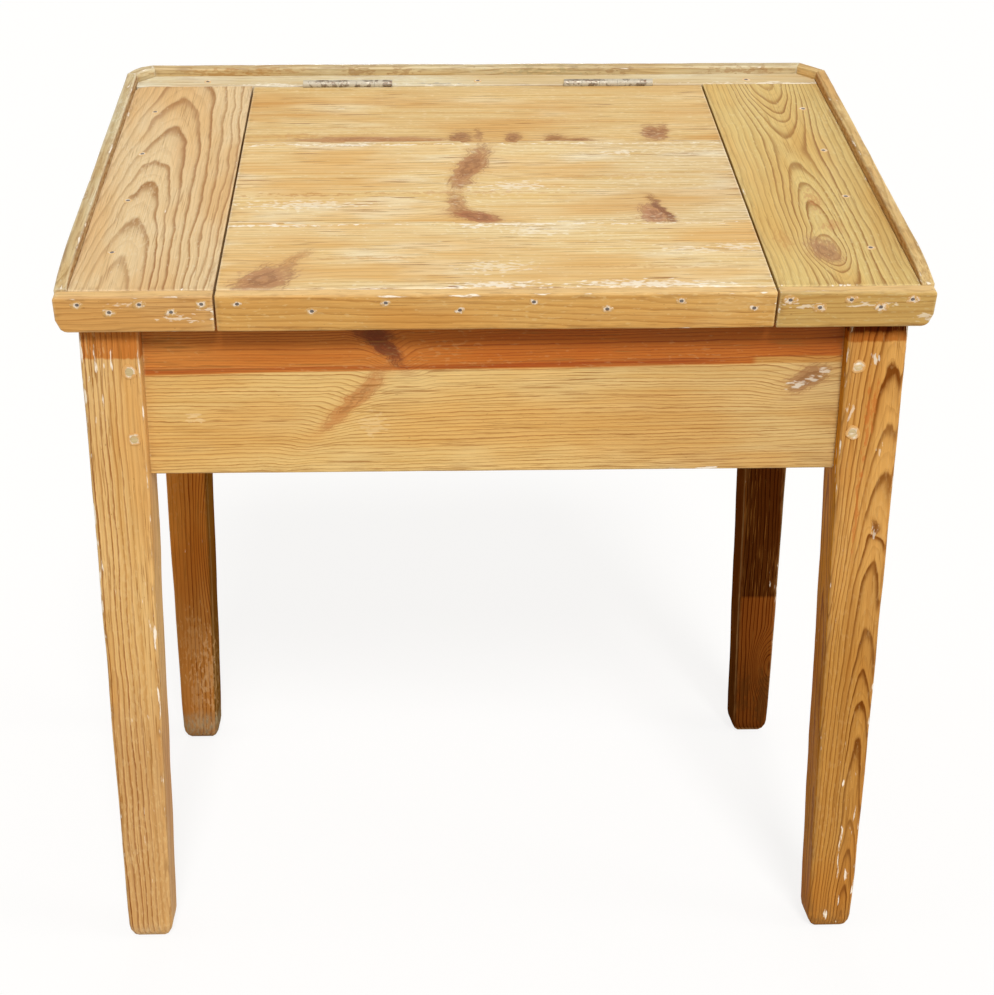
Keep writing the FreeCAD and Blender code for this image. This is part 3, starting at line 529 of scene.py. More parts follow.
    def _year(self, turns: Socket) -> Socket:
        """Shade one year's growth: soft into late wood, then a sharp end, with faint lines between.

        Args:
            turns: Years from the pith.

        Returns:
            Share of late wood at full contrast.
        """
        phase = self.put("Math", [turns], operation="FRACT")
        soft = self.put("MapRange", [phase, 0.25, 0.85, 0.0, 0.3], **SMOOTH)
        rise = self.put("MapRange", [phase, 0.58, 0.88, 0.0, 0.7], **SMOOTH)
        rise = self.put("Math", [rise, soft], operation="ADD")
        fall = self.put("MapRange", [phase, 0.91, 1.0, 1.0, 0.0], **SMOOTH)
        late = self.put("Math", [rise, fall], operation="MULTIPLY")
        thirds = self.put("Math", [turns, 3.0], operation="MULTIPLY")
        thirds = self.put("Math", [thirds], operation="FRACT")
        faint = self.put("MapRange", [thirds, 0.45, 0.95, 0.0, 0.2], **SMOOTH)
        return self.put("Math", [late, faint], operation="MAXIMUM")

    def _wood(self, late: Socket) -> Socket:
        """Colour the clean wood: rings, streaks, scrubbed patches, yellowed oil, painted shade on whole
        faces, and bands.

        Args:
            late: Share of late wood.

        Returns:
            The colour.
        """
        pine, tones = self.pine, self.pine.tones
        colour = self.put("Mix", {0: late, 6: linear(tones.early), 7: linear(tones.late)}, **RGBA)
        colour = self.cover(colour, tones.honey, self.fields[Figure.STREAK], 0.46, 0.70, pine.streak)
        colour = self.cover(colour, tones.pale, self.fields[Figure.PATCH], 0.48, 0.72, pine.scrub)
        colour = self.cover(colour, Age.OIL, self.fields[Figure.BROAD], 0.40, 0.66, pine.golden, "MULTIPLY")
        if pine.shaded_faces:
            pair = {0: 1.0, 6: colour, 7: self._painted_shade()}
            colour = self.put("Mix", pair, blend_type="MULTIPLY", **RGBA)
        for band in pine.bands:
            pair = {0: self._band(band), 6: colour, 7: linear(band.tone)}
            colour = self.put("Mix", pair, blend_type="MULTIPLY" if band.stain else "MIX", **RGBA)
        return colour

    def _frayed(self) -> Socket:
        """Shake the board coordinates so that knots and paint get ragged outlines.

        Returns:
            The shaken coordinates in millimetres.
        """
        start = (self.pine.seed + 4.4, 9.1, self.pine.seed)
        place = self.put("VectorMath", [self.at, (1 / 30, 1 / 11, 1 / 11), start], operation="MULTIPLY_ADD")
        shake = self.put("TexNoise", {"Vector": place, "Scale": 1.0, "Detail": 4.0, "Roughness": 0.6}, out=1)
        centred = self.put("VectorMath", [shake, (0.5, 0.5, 0.5)], operation="SUBTRACT")
        return self.put("VectorMath", [centred, (24.0, 14.0, 0.0), self.at], operation="MULTIPLY_ADD")

    def _band(self, band: Band) -> Socket:
        """Shade a band.

        Args:
            band: The band.

        Returns:
            Share of the band's tone.
        """
        at = self.squared if band.square else self.at
        across = self.put("VectorMath", [at, band.axis.value], out=1, operation="DOT_PRODUCT")
        along = self.put("VectorMath", [at, Axis.ALONG.value], out=1, operation="DOT_PRODUCT")
        across = self.put("Math", [along, -band.tilt, across], operation="MULTIPLY_ADD")
        sway = 0.0 if band.square or band.axis is Axis.OUT else min(8.0, 2.0 * band.soft)
        across = self.put("Math", [self.fields[Figure.STREAK], sway, across], operation="MULTIPLY_ADD")
        low, high = band.low + sway / 2, band.high + sway / 2
        share = self.put("MapRange", [across, low, low + band.soft, 0.0, band.strength], **SMOOTH)
        top = self.put("MapRange", [across, high, high + band.soft, 1.0, 0.0], **SMOOTH)
        share = self.put("Math", [share, top], operation="MULTIPLY")
        if band.broken:
            gaps = self._noise(at, Figure.GAPS)
            kept = self.put("MapRange", [gaps, 0.42, 0.62, 1.0 - band.broken, 1.0], **SMOOTH)
            share = self.put("Math", [share, kept], operation="MULTIPLY")
        tail = self.put("MapRange", [along, band.fade_at, band.fade_at + band.fade_over, 1.0, 0.0], **SMOOTH)
        return self.put("Math", [share, tail], operation="MULTIPLY")

    def _painted_shade(self) -> Colour:
        """Tint whole faces with painted shade, each later one over those before it.

        Returns:
            The tint, white where there is no painted shade.
        """
        tint: Colour = WHITE
        along = self.put("VectorMath", [self.squared, Axis.ALONG.value], out=1, operation="DOT_PRODUCT")
        for face in self.pine.shaded_faces:
            level = self.put("VectorMath", [self.squared, face.axis.value], out=1, operation="DOT_PRODUCT")
            share = self.put("MapRange", [level, face.clear, face.full, 0.0, 1.0], **SMOOTH)
            start = self.put("MapRange", [along, face.above, face.above + 4.0, 0.0, 1.0])
            share = self.put("Math", [share, start], operation="MULTIPLY")
            tint = self.put("Mix", {0: share, 6: tint, 7: linear(face.tone)}, **RGBA)
        return tint

    def _knot(self, colour: Socket, knot: Knot) -> Socket:
        """Colour a knot: a warm halo drawn out along the grain round a darker, lined core.

        Args:
            colour: Colour so far.
            knot: The knot.

        Returns:
            The colour with the knot.
        """
        own = knot.local(self, self.frayed, knot.turn)
        reach = self.put("VectorMath", [own], out=1, operation="LENGTH")
        drawn = self.put("Math", [self.fields[Figure.STREAK], 1.8, reach], operation="MULTIPLY_ADD")
        colour = self.cover(colour, knot.halo, drawn, 2.7, 1.3, 0.55 * knot.strength)
        fine = self.put("VectorMath", [own, (2.2, 7.0, 1.0)], operation="MULTIPLY")
        fibres = self.put("TexNoise", {"Vector": fine, "Scale": 1.0, "Detail": 3.0})
        ragged = self.put("Math", [fibres, 1.5, reach], operation="MULTIPLY_ADD")
        core = self.put("MapRange", [ragged, 1.3, 1.95, knot.strength, 0.0], **SMOOTH)
        wave = self.put("Math", [reach, 11.0], operation="MULTIPLY")
        wave = self.put("Math", [fibres, 9.0, wave], operation="MULTIPLY_ADD")
        wave = self.put("Math", [wave], operation="SINE")
        lines = self.put("MapRange", [wave, -0.1, 1.0, 0.0, 0.5], **SMOOTH)
        lines = self.put("Math", [lines, core], operation="MULTIPLY")
        light = self.put("MapRange", [fibres, 0.52, 0.68, 0.0, 0.45], **SMOOTH)
        light = self.put("Math", [light, core], operation="MULTIPLY")
        for share, tone in ((core, knot.core), (lines, knot.line), (light, knot.halo)):
            colour = self.put("Mix", {0: share, 6: colour, 7: linear(tone)}, **RGBA)
        return colour

    def _used(self, colour: Socket) -> Socket:
        """Age the wood: grime near arrises, rubbed arrises, scratches, scuffs and specks.

        Args:
            colour: Colour so far.

        Returns:
            The aged colour.
        """
        pine, patch = self.pine, self.fields[Figure.PATCH]
        near = self.put("MapRange", [self.edge, 0.5, 9.0, 1.0, 0.0], **SMOOTH)
        dirty = self.put("MapRange", [self.fields[Figure.FLAKE], 0.45, 0.66, 0.0, pine.grime], **SMOOTH)
        dirty = self.put("Math", [dirty, near], operation="MULTIPLY")
        rubbed = self.put("MapRange", [self.edge, 0.2, 3.2, 0.5, 0.0], **SMOOTH)
        rubbed = self.put("Math", [rubbed, patch], operation="MULTIPLY")
        for share, tone in ((dirty, Age.GRIME), (rubbed, pine.tones.pale)):
            colour = self.put("Mix", {0: share, 6: colour, 7: linear(tone)}, **RGBA)
        score = self.put("Math", [patch, 0.4, self.fields[Figure.SCORE]], operation="MULTIPLY_ADD")
        colour = self.cover(colour, Age.SCRATCH, score, 0.80, 0.92, 0.8 * pine.scored)
        chips = [self.fields[Figure.BROAD], -0.5, self.fields[Figure.CHIPS]]
        rub = self.put("Math", chips, operation="MULTIPLY_ADD")
        colour = self.cover(colour, pine.tones.pale, rub, 0.34, 0.46, pine.scuff)
        return self.cover(colour, Age.SPECK, self.fields[Figure.SPECK], 0.70, 0.78, pine.grime)

    def _mark(self, colour: Socket, mark: Mark) -> Socket:
        """Leave one broken patch of paint or stain.

        Args:
            colour: Colour so far.
            mark: The patch.

        Returns:
            The colour with the patch.
        """
        own = mark.local(self, self.frayed)
        reach = self.put("VectorMath", [own], out=1, operation="LENGTH")
        level = self.put("Math", [self.fields[Figure.CHIPS], -mark.broken, reach], operation="MULTIPLY_ADD")
        full = 0.3 - mark.broken / 2
        return self.cover(colour, mark.tone, level, full + 0.6, full, mark.strength)

    def _edge(self, box: Socket, size: Vector) -> Socket:
        """Measure how far a point of the surface lies from the nearest arris.

        Args:
            box: Coordinates in the squared-up board, in metres.
            size: Length, width and thickness of the board in metres.

        Returns:
            The distance in millimetres.
        """
        half = Vector((size.x / 2, size.y / 2, size.z / 2))
        off = self.put("VectorMath", [box, (half.x, half.y, -half.z)], operation="SUBTRACT")
        off = self.put("VectorMath", [off], operation="ABSOLUTE")
        left = self.put("VectorMath", [tuple(half), off], operation="SUBTRACT")
        x, y, z = self.put("SeparateXYZ", [left]).node.outputs
        least = self.put("Math", [x, y], operation="MINIMUM")
        most = self.put("Math", [x, y], operation="MAXIMUM")
        other = self.put("Math", [most, z], operation="MINIMUM")
        second = self.put("Math", [least, other], operation="MAXIMUM")
        return self.put("Math", [second, PER_METRE], operation="MULTIPLY")

    def _paint(self, colour: Socket) -> Socket:
        """Leave flakes of white paint, in clusters and more of them close to arrises.

        Args:
            colour: Colour so far.

        Returns:
            The colour with the paint.
        """
        close = self.put("MapRange", [self.edge, 0.3, 5.0, 0.09, 0.0], **SMOOTH)
        level = self.put("Math", [self.fields[Figure.FLAKE], 0.6, close], operation="MULTIPLY_ADD")
        level = self.put("Math", [self.fields[Figure.PATCH], 0.4, level], operation="MULTIPLY_ADD")
        bar = 0.70 - 0.08 * self.pine.paint
        return self.cover(colour, Age.PAINT, level, bar, bar + 0.05, 0.85)


@dataclass(frozen=True)
class IronFinish:
    """Old wrought iron: dull rusted metal that shows through chipped grey and white paint.

    Attributes:
        name: Name of the material.
        metal, coat, chip: Colours of the bare metal, of the paint and of the paint's lightest chips.
        coat_share: How much paint is left; below nought there is none.
        flake, grit: Size of a paint flake and of a speck of rust, in millimetres.
    """

    name: str
    metal: str = "#93897A"
    coat: str = "#B6AE9C"
    chip: str = "#E6DFCE"
    coat_share: float = 0.6
    flake: float = 11.11
    grit: float = 2.381

    def material(self) -> bpy.types.Material:
        """Make the metal's material.

        Returns:
            The material.
        """
        g = Graph(bpy.data.materials.new(self.name))
        at = g.put("TexCoord", [], out="Object")
        flakes = {"Vector": at, "Scale": PER_METRE / self.flake, "Detail": 4.0, "Roughness": 0.65}
        broad = g.put("TexNoise", flakes)
        fine = g.put("TexNoise", {"Vector": at, "Scale": PER_METRE / self.grit, "Detail": 3.0})
        bar = 0.62 - 0.28 * self.coat_share
        coat = g.put("MapRange", [broad, bar, bar + 0.06, 0.0, 1.0], **SMOOTH)
        bare = g.cover(linear(self.metal), Age.RUST, fine, 0.45, 0.7, 0.7)
        colour = g.put("Mix", {0: coat, 6: bare, 7: linear(self.coat)}, **RGBA)
        colour = g.cover(colour, self.chip, broad, bar + 0.16, bar + 0.26, 0.7)
        metallic = g.put("MapRange", [coat, 0.0, 1.0, 0.85, 0.0])
        rough = g.put("MapRange", [fine, 0.3, 0.7, 0.4, 0.65])
        normal = g.put("Bump", {"Strength": 0.4, "Distance": 0.3 * MM, "Height": broad})
        iron = {"Base Color": colour, "Metallic": metallic, "Roughness": rough, "Normal": normal}
        g.put("OutputMaterial", [g.put("BsdfPrincipled", iron)])
        return g.owner


@dataclass(frozen=True)
class FillerFinish:
    """Chalky filler round nails and pegs: matt and off-white near the head, rubbed back to wood at the rim.

    Attributes:
        name: Name of the material.
        wood, light: Colours at the rim and near the head.
        cover: How far the light filler reaches.
        blotch: Size of a blotch in millimetres.
        soft: How softly it fades.
    """

    name: str
    wood: str
    light: str = "#E8E0D4"
    cover: float = 0.5
    blotch: float = 3.0
    soft: float = 0.2

    def material(self) -> bpy.types.Material:
        """Make the filler's material.

        Returns:
            The material.
        """
        g = Graph(bpy.data.materials.new(self.name))
        at = g.put("TexCoord", [], out="Object")
        depth = g.put("Attribute", [], out="Fac", attribute_name="depth")
        blotches = {"Vector": at, "Scale": PER_METRE / self.blotch, "Detail": 3.0, "Roughness": 0.6}
        blotch = g.put("TexNoise", blotches)
        level = g.put("Math", [depth, 0.5, blotch], operation="MULTIPLY_ADD")
        bar = 0.92 - 0.4 * self.cover
        colour = g.cover(linear(self.wood), self.light, level, bar, bar + self.soft, 0.9)
        rough = g.put("MapRange", [blotch, 0.3, 0.7, 0.6, 0.85])
        g.put("OutputMaterial", [g.put("BsdfPrincipled", {"Base Color": colour, "Roughness": rough})])
        return g.owner


class Site:
    """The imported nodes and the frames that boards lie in."""

    def __init__(self) -> None:
        """Find the sloped frame from the lid's front edge."""
        self.nodes: dict[str, bpy.types.Object] = frame["nodes"]
        self.upright = Matrix.Identity(4)
        tilt = Matrix.Rotation(SLOPE_ANGLE, 4, "X")
        low, high = self.extents("lid_front_lipping", tilt)
        self.slope = Matrix.Translation(tilt @ Vector((0.0, low.y, high.z))) @ tilt

    def extents(self, node: str, placing: Matrix) -> tuple[Vector, Vector]:
        """Measure a node along a frame's axes.

        Args:
            node: Name of the CAD node.
            placing: The frame.

        Returns:
            Lowest and highest corner in that frame, in metres.
        """
        turn = placing.inverted()
        return corners([turn @ v.co for v in self.nodes[node].data.vertices])

    def body(self, node: str) -> str:
        """Name the body a node rides on."""
        return self.nodes[node]["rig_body"]


def corners(spots: list[Vector]) -> tuple[Vector, Vector]:
    """Find the box round some points.

    Args:
        spots: The points.

    Returns:
        Lowest and highest corner.
    """
    low = Vector([min(s[i] for s in spots) for i in range(3)])
    high = Vector([max(s[i] for s in spots) for i in range(3)])
    return low, high


SITE = Site()
noise.seed_set(SEED)


def skin(name: str, points: list[Vector], faces: list[tuple[int, ...]], sharp: float) -> bpy.types.Mesh:
    """Make a closed mesh, smooth between its sharp edges.

    Args:
        name: Name of the mesh.
        points: Its points in metres.
        faces: Its faces, as numbers of points.
        sharp: Degrees from which an edge stays sharp.

    Returns:
        The mesh, with its faces turned outwards.
    """
    mesh = bpy.data.meshes.new(name)
    mesh.from_pydata(points, [], faces)
    work = bmesh.new()
    work.from_mesh(mesh)
    bmesh.ops.recalc_face_normals(work, faces=work.faces)
    work.to_mesh(mesh)
    work.free()
    mesh.shade_smooth()
    mesh.set_sharp_from_angle(angle=math.radians(sharp))
    return mesh


def belt(a: int, b: int, ring: int) -> list[tuple[int, ...]]:
    """Join two rings of points, from the numbers of their first points, into a belt of faces."""
    return [(a + j, a + (j + 1) % ring, b + (j + 1) % ring, b + j) for j in range(ring)]


def tube(first: int, rows: int, ring: int) -> list[tuple[int, ...]]:
    """Join rows of rings, from the number of the first point, into the faces of a tube."""
    starts = range(first, first + (rows - 1) * ring, ring)
    return [face for a in starts for face in belt(a, a + ring, ring)]


@dataclass
class Plank:
    """A board cut to a CAD node's size, with hand-worn arrises and slightly uneven faces.

    Attributes:
        node, lay, finish, slot: The node that it replaces, how it lies in its frame, its pine and its slot,
            which is not used.
        placing: The frame that it lies in.
        trim: Ends of its visible length in that frame, where tenons hide the rest.
        edge, wear: Rounding of its arrises as made, and how much more wear adds, in millimetres.
        ends: Rounding of its two ends, in millimetres.
        step: Spacing of its sections, in millimetres.
        uneven: How far its faces wander, in millimetres.
        foot_wear: How much more its arrises are worn at the floor, in millimetres.
        reshape: Moves a point of the squared-up board to the board's real shape.
        size, own: Its size and its own axes, worked out from the node.
    """

    node: str
    lay: Lay
    finish: PineFinish
    slot: Slot
    placing: Matrix
    trim: tuple[float, float] | None = None
    edge: float = 1.3
    wear: float = 1.6
    ends: tuple[float, float] = (1.4, 1.4)
    step: float = 9.0
    uneven: float = 0.22
    foot_wear: float = 0.0
    reshape: Reshape | None = None
    size: Vector = field(init=False)
    own: Matrix = field(init=False)

    # Gap from a rounding to the next points, spacing of points across a face, and height of worn feet
    CLOSE = 1.5 * MM
    FACE_STEP = 14.0 * MM
    FOOT_HEIGHT = 90.0 * MM
    # Least rounding of an arris, and the most as a share of the section
    LEAST_ROUND = 0.3 * MM
    MOST_ROUND = 0.42
    # Bumps of wear per metre of arris, and waves per metre of a hand-planed face
    SLOW_WEAR = 14.0
    QUICK_WEAR = 55.0
    WAVES = 16.0
    # Degrees from which an edge stays sharp
    SHARP = 40.0

    def __post_init__(self) -> None:
        """Work out the board's own axes and its size from the CAD node."""
        axes = [Vector(axis) for axis in self.lay.value]
        low, high = SITE.extents(self.node, self.placing)
        spans = [sorted((low.dot(axis), high.dot(axis))) for axis in axes]
        if self.trim is not None:
            spans[0] = sorted(self.trim)
        origin = axes[0] * spans[0][0] + axes[1] * spans[1][0] + axes[2] * spans[2][1]
        turn = Matrix(axes).transposed().to_4x4()
        self.own = self.placing @ Matrix.Translation(origin) @ turn
        self.size = Vector([s[1] - s[0] for s in spans])

    def build(self) -> None:
        """Make the board in place of its node."""
        mesh = self._mesh()
        piece = bpy.data.objects.new("worn_" + self.node, mesh)
        bpy.context.scene.collection.objects.link(piece)
        piece.matrix_world = self.own
        mesh.materials.append(self.finish.material(self.size))
        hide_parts(self.node)
        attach(piece, SITE.body(self.node))
        LOG.info("board %s", self.node)

    def _stations(self) -> list[tuple[float, float]]:
        """List places along the board with how far its section draws in there, for rounded ends.

        Returns:
            Pairs of place and inset in metres.
        """
        length = self.size.x
        first, last = (e * MM for e in self.ends)
        start = [(first * (1 - math.cos(a)), first * (1 - math.sin(a))) for a in QUARTER_TURN]
        back = reversed(QUARTER_TURN)
        finish = [(length - last * (1 - math.cos(a)), last * (1 - math.sin(a))) for a in back]
        near, far = first + self.CLOSE, length - last - self.CLOSE
        count = max(2, round((far - near) / (self.step * MM)))
        middle = [(near + (far - near) * i / count, 0.0) for i in range(count + 1)]
        return start + middle + finish

    def _radius(self, along: float, corner: int) -> float:
        """Round one arris by its wear.

        Args:
            along: Place along the board in metres.
            corner: Which of the four arrises.

        Returns:
            The rounding in metres.
        """
        seed = self.finish.seed * 3.7 + corner * 17.3
        slow = noise.noise(Vector((along * self.SLOW_WEAR, seed, 0.3)))
        quick = noise.noise(Vector((along * self.QUICK_WEAR, seed, 7.9)))
        lost = max(0.0, 0.35 + 0.8 * slow + 0.35 * quick)
        foot = self.foot_wear * max(0.0, 1.0 - along / self.FOOT_HEIGHT) ** 2
        return (self.edge + self.wear * lost + foot) * MM

    def _section(self, along: float, inset: float) -> list[tuple[float, float]]:
        """Draw the board's section at one place.

        Args:
            along: Place along the board in metres.
            inset: How far the section draws in, in metres.

        Returns:
            Points across and into the board, in metres, going round.
        """
        wide, thick = self.size.y - 2 * inset, self.size.z - 2 * inset
        most = self.MOST_ROUND * min(wide, thick)
        radii = [min(max(self._radius(along, c) - inset, self.LEAST_ROUND), most) for c in range(4)]
        signs = ((1, 1), (1, -1), (-1, -1), (-1, 1))
        middle = Vector((self.size.y / 2, -self.size.z / 2))
        half = Vector((wide / 2, thick / 2))
        arcs = []
        for c, (sx, sy) in enumerate(signs):
            centre = middle + Vector((sx * (half.x - radii[c]), sy * (half.y - radii[c])))
            begin = math.radians(90 - 90 * c)
            bends = [begin - a for a in QUARTER_TURN]
            arcs.append([centre + radii[c] * Vector((math.cos(b), math.sin(b))) for b in bends])
        points = []
        for c in range(4):
            points += arcs[c] + self._run(arcs[c][-1], arcs[(c + 1) % 4][0], c)
        return [(q.x, q.y) for q in points]

    def _run(self, begin: Vector, end: Vector, side: int) -> list[Vector]:
        """Fill a straight side of the section between two rounded arrises.

        Args:
            begin: End of one rounding.
            end: Start of the next.
            side: Nought and two are the narrow sides, one and three the broad ones.

        Returns:
            Points between, with one close to each rounding.
        """
        span = self.size.z if side % 2 == 0 else self.size.y
        count = max(1, round(span / self.FACE_STEP))
        close = min(0.2, self.CLOSE / max((end - begin).length, 1e-6))
        shares = [close] + [i / count for i in range(1, count)] + [1 - close]
        return [begin.lerp(end, s) for s in sorted(shares)]

    def _mesh(self) -> bpy.types.Mesh:
        """Skin the sections into a closed mesh with the squared-up coordinates kept on its points.

        Returns:
            The mesh, in the board's own axes.
        """
        stations = self._stations()
        boxes = [(along, *point) for along, inset in stations for point in self._section(along, inset)]
        places = [self._ripple(Vector(b if self.reshape is None else self.reshape(*b))) for b in boxes]
        ring = len(boxes) // len(stations)
        last = len(boxes) - ring
        faces = tube(0, len(stations), ring)
        faces.append(tuple(reversed(range(ring))))
        faces.append(tuple(range(last, last + ring)))
        mesh = skin("worn_" + self.node, places, faces, self.SHARP)
        board = mesh.attributes.new("board", "FLOAT_VECTOR", "POINT")
        board.data.foreach_set("vector", [c for b in boxes for c in b])
        return mesh

    def _ripple(self, spot: Vector) -> Vector:
        """Move a point across and out by the unevenness of a hand-planed face.

        Args:
            spot: The point in metres.

        Returns:
            The moved point.
        """
        shift = Vector((self.finish.seed * 5.1, 2.2, 8.8))
        wave = noise.noise_vector(spot * self.WAVES + shift)
        wave.x = 0.0
        return spot + wave * (self.uneven * MM)


@dataclass
class Heads:
    """Nail or peg heads seen at the surface, made where the CAD fasteners come out.

    Attributes:
        node, placing: The fasteners' node and the frame that they are driven in.
        axis: Which axis of that frame they lie along, or minus one for each one's longest.
        sink: How far the wood's face lies past the fastener, in millimetres.
        head, rim: Radius of a head and of the filler round it, in millimetres.
        stretch: How much longer than wide the filler is.
        ragged: Share by which the filler's rim wanders.
        outward: Which way along the axis the heads face, or nought for away from the middle.
    """

    node: str
    placing: Matrix
    axis: int
    sink: float = 0.8
    head: float = 1.5
    rim: float = 3.4
    stretch: float = 1.0
    ragged: float = 0.3
    outward: int = 0

    # Points round a head, how far a head's own outline wanders, and degrees from which an edge stays sharp
    ROUND = 20
    HEAD_RAGGED = 0.06
    SHARP = 50.0

    def build(self, name: str, head: bpy.types.Material, filler: bpy.types.Material, slot: Slot) -> None:
        """Make the heads and the filler round them.

        Args:
            name: Start of the pieces' names.
            head: Finish of the heads.
            filler: Finish of the ring round them.
            slot: Material slot of the record; not used.
        """
        spots = self._spots()
        heads = self._lathe(name + "_heads", spots, self._head_profile(), head, self.HEAD_RAGGED)
        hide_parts(self.node)
        rings = self._lathe(name + "_filler", spots, self._ring_profile(), filler, self.ragged)
        for piece in (heads, rings):
            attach(piece, SITE.body(self.node))
        LOG.info("%d fastener heads %s", len(spots), name)

    def _spots(self) -> list[tuple[Vector, Vector]]:
        """Find each fastener's head.

        Returns:
            Pairs of the place on the board's face and the direction out of it.
        """
        work = bmesh.new()
        work.from_mesh(SITE.nodes[self.node].data)
        bmesh.ops.remove_doubles(work, verts=work.verts, dist=1e-6)
        work.verts.ensure_lookup_table()
        turn = self.placing.inverted()
        seen: set[int] = set()
        found = []
        for vert in work.verts:
            if vert.index in seen:
                continue
            stack, island = [vert], []
            seen.add(vert.index)
            while stack:
                here = stack.pop()
                island.append(turn @ here.co)
                fresh = [v for v in (e.other_vert(here) for e in here.link_edges) if v.index not in seen]
                seen.update(v.index for v in fresh)
                stack += fresh
            found.append(self._head(island))
        work.free()
        return sorted(found, key=lambda pair: tuple(pair[0]))

    def _head(self, island: list[Vector]) -> tuple[Vector, Vector]:
        """Place one head on the face.

        Args:
            island: The fastener's points in its frame.

        Returns:
            Place and direction.
        """
        low, high = corners(island)
        spans = high - low
        axis = self.axis if self.axis >= 0 else max(range(3), key=lambda i: spans[i])
        spot = (low + high) / 2
        sign = self.outward or (1 if spot[axis] > 0 else -1)
        spot[axis] = high[axis] + self.sink * MM if sign > 0 else low[axis] - self.sink * MM
        out = Vector((0.0, 0.0, 0.0))
        out[axis] = float(sign)
        return self.placing @ spot, (self.placing.to_3x3() @ out).normalized()

    def _head_profile(self) -> list[tuple[float, float]]:
        """Give a head's outline as pairs of radius and height in millimetres, from the rim in."""
        r = self.head
        return [(r, -0.6), (r, 0.16), (0.8 * r, 0.24), (0.45 * r, 0.22), (0.2 * r, 0.18)]

    def _ring_profile(self) -> list[tuple[float, float]]:
        """Give the filler's outline as pairs of radius and height in millimetres, from the rim in."""
        r, h = self.rim, self.head
        return [(r, -1.2), (0.95 * r, 0.18), ((r + h) / 2, 0.3), (h + 0.2, 0.32), (h, -0.4)]

    def _lathe(
        self,
        name: str,
        spots: list[tuple[Vector, Vector]],
        profile: list[tuple[float, float]],
        material: bpy.types.Material,
        ragged: float,
    ) -> bpy.types.Object:
        """Turn a profile round each spot, with a ragged outline.

        Args:
            name: Name of the piece.
            spots: Places and directions.
            profile: Pairs of radius and height in millimetres; one that ends near the middle is closed.
            material: Finish.
            ragged: Share by which the radius wanders.

        Returns:
            The piece.
        """
        points: list[Vector] = []
        faces: list[tuple[int, ...]] = []
        depths: list[float] = []
        rows, ring = len(profile), self.ROUND
        closed = profile[-1][0] < 0.5 * self.head
        ways = [math.tau * j / ring for j in range(ring)]
        for number, (spot, out) in enumerate(spots):
            side = Vector((0.0, 1.0, 0.0) if abs(out.x) > 0.9 else (1.0, 0.0, 0.0))
            turn = Matrix((side, out.cross(side), out)).transposed()
            grow = 1.0 + 0.25 * noise.noise(Vector((number * 3.1, 4.4, ragged)))
            base = len(points)
            for row, (radius, height) in enumerate(profile):
                depth = row / (rows - 1)
                loose = ragged * (1.0 - depth)
                long = 1.0 + (self.stretch - 1.0) * loose / max(ragged, 0.01)
                for way in (Vector((math.cos(a), math.sin(a), 0.0)) for a in ways):
                    stray = noise.noise(way * 1.1 + Vector((number * 7.3, 1.1, 5.5)))
                    r = radius * (1.0 + loose * (1.6 * stray + grow - 1.0))
                    points.append(spot + turn @ Vector((way.x * r * long, way.y * r, height)) * MM)
                    depths.append(depth)
            faces += tube(base, rows, ring)
            top = base + (rows - 1) * ring
            if closed:
                faces.append(tuple(range(top, top + ring)))
                faces.append(tuple(reversed(range(base, base + ring))))
            else:
                faces += belt(top, base, ring)
        mesh = skin(name, points, faces, self.SHARP)
        mesh.attributes.new("depth", "FLOAT", "POINT").data.foreach_set("value", depths)
        mesh.materials.append(material)
        piece = bpy.data.objects.new(name, mesh)
        bpy.context.scene.collection.objects.link(piece)
        return piece


def dress(node: str, material: bpy.types.Material) -> None:
    """Give a CAD node a finish.

    Args:
        node: Name of the node.
        material: The finish.
    """
    piece = SITE.nodes[node]
    piece.data.materials.clear()
    piece.data.materials.append(material)
    LOG.info("node %s", node)


def dress_board(node: str, lay: Lay, finish: PineFinish) -> None:
    """Give a CAD board of the top its own pine, laid along its own axes."""
    like = Plank(node, lay, finish, Slot.TOP, SITE.slope)
    dress(node, finish.material(like.size, like.own))


# The pines, from brown legs to the scrubbed, almost white rail
BACK_LEG_TONES = Tones("#CBA062", "#7A4218", "#B58545", "#D0B07A")
RIGHT_LEG_TONES = Tones("#CC9A55", "#744012", "#AA7334", "#C8A168")
LEG_TONES = Tones("#D5AE72", "#84491A", "#BF8F4D", "#D9BC88")
PEG_TONES = Tones("#B4A678", "#857647")
APRON_TONES = Tones("#D8B776", "#97622A", "#C29853", "#D8BE86")
LEFT_BOARD_TONES = Tones("#DDC397", "#9A6D3A", "#CBA770", "#DECDAC")
RIGHT_BOARD_TONES = Tones("#D6BC7A", "#93672B", "#C09A53", "#DBCD9A")
BACK_BOARD_TONES = Tones("#DABE86", "#B1854B", "#CBA360", "#E8D9B3")
TOP_TONES = Tones("#E3CC9A", "#BB9359", "#D5B26F", "#EFE8CE")
EDGE_TONES = Tones("#D3A660", "#A16D2C", "#BE8B45", "#DEC691")
EDGE_LEFT_TONES = Tones("#D5AD6F", "#A3733A", "#C09254", "#E0CBA0")
EDGE_RIGHT_TONES = Tones("#C5A260", "#966A2C", "#B28845", "#CFC191")
RAIL_TONES = Tones("#DCD1B0", "#AE986D", "#CBB689", "#E6E8DE")
LIP_TONES = Tones("#CDBD96", "#9D8453", "#B99E6B", "#D9D7C1")
LIP_RIGHT_TONES = Tones("#D4B47A", "#9D7A3E", "#BF9652", "#DCCB9C")
INSIDE_TONES = Tones("#C99F63", "#8E6130", "#B58748", "#D8B684")

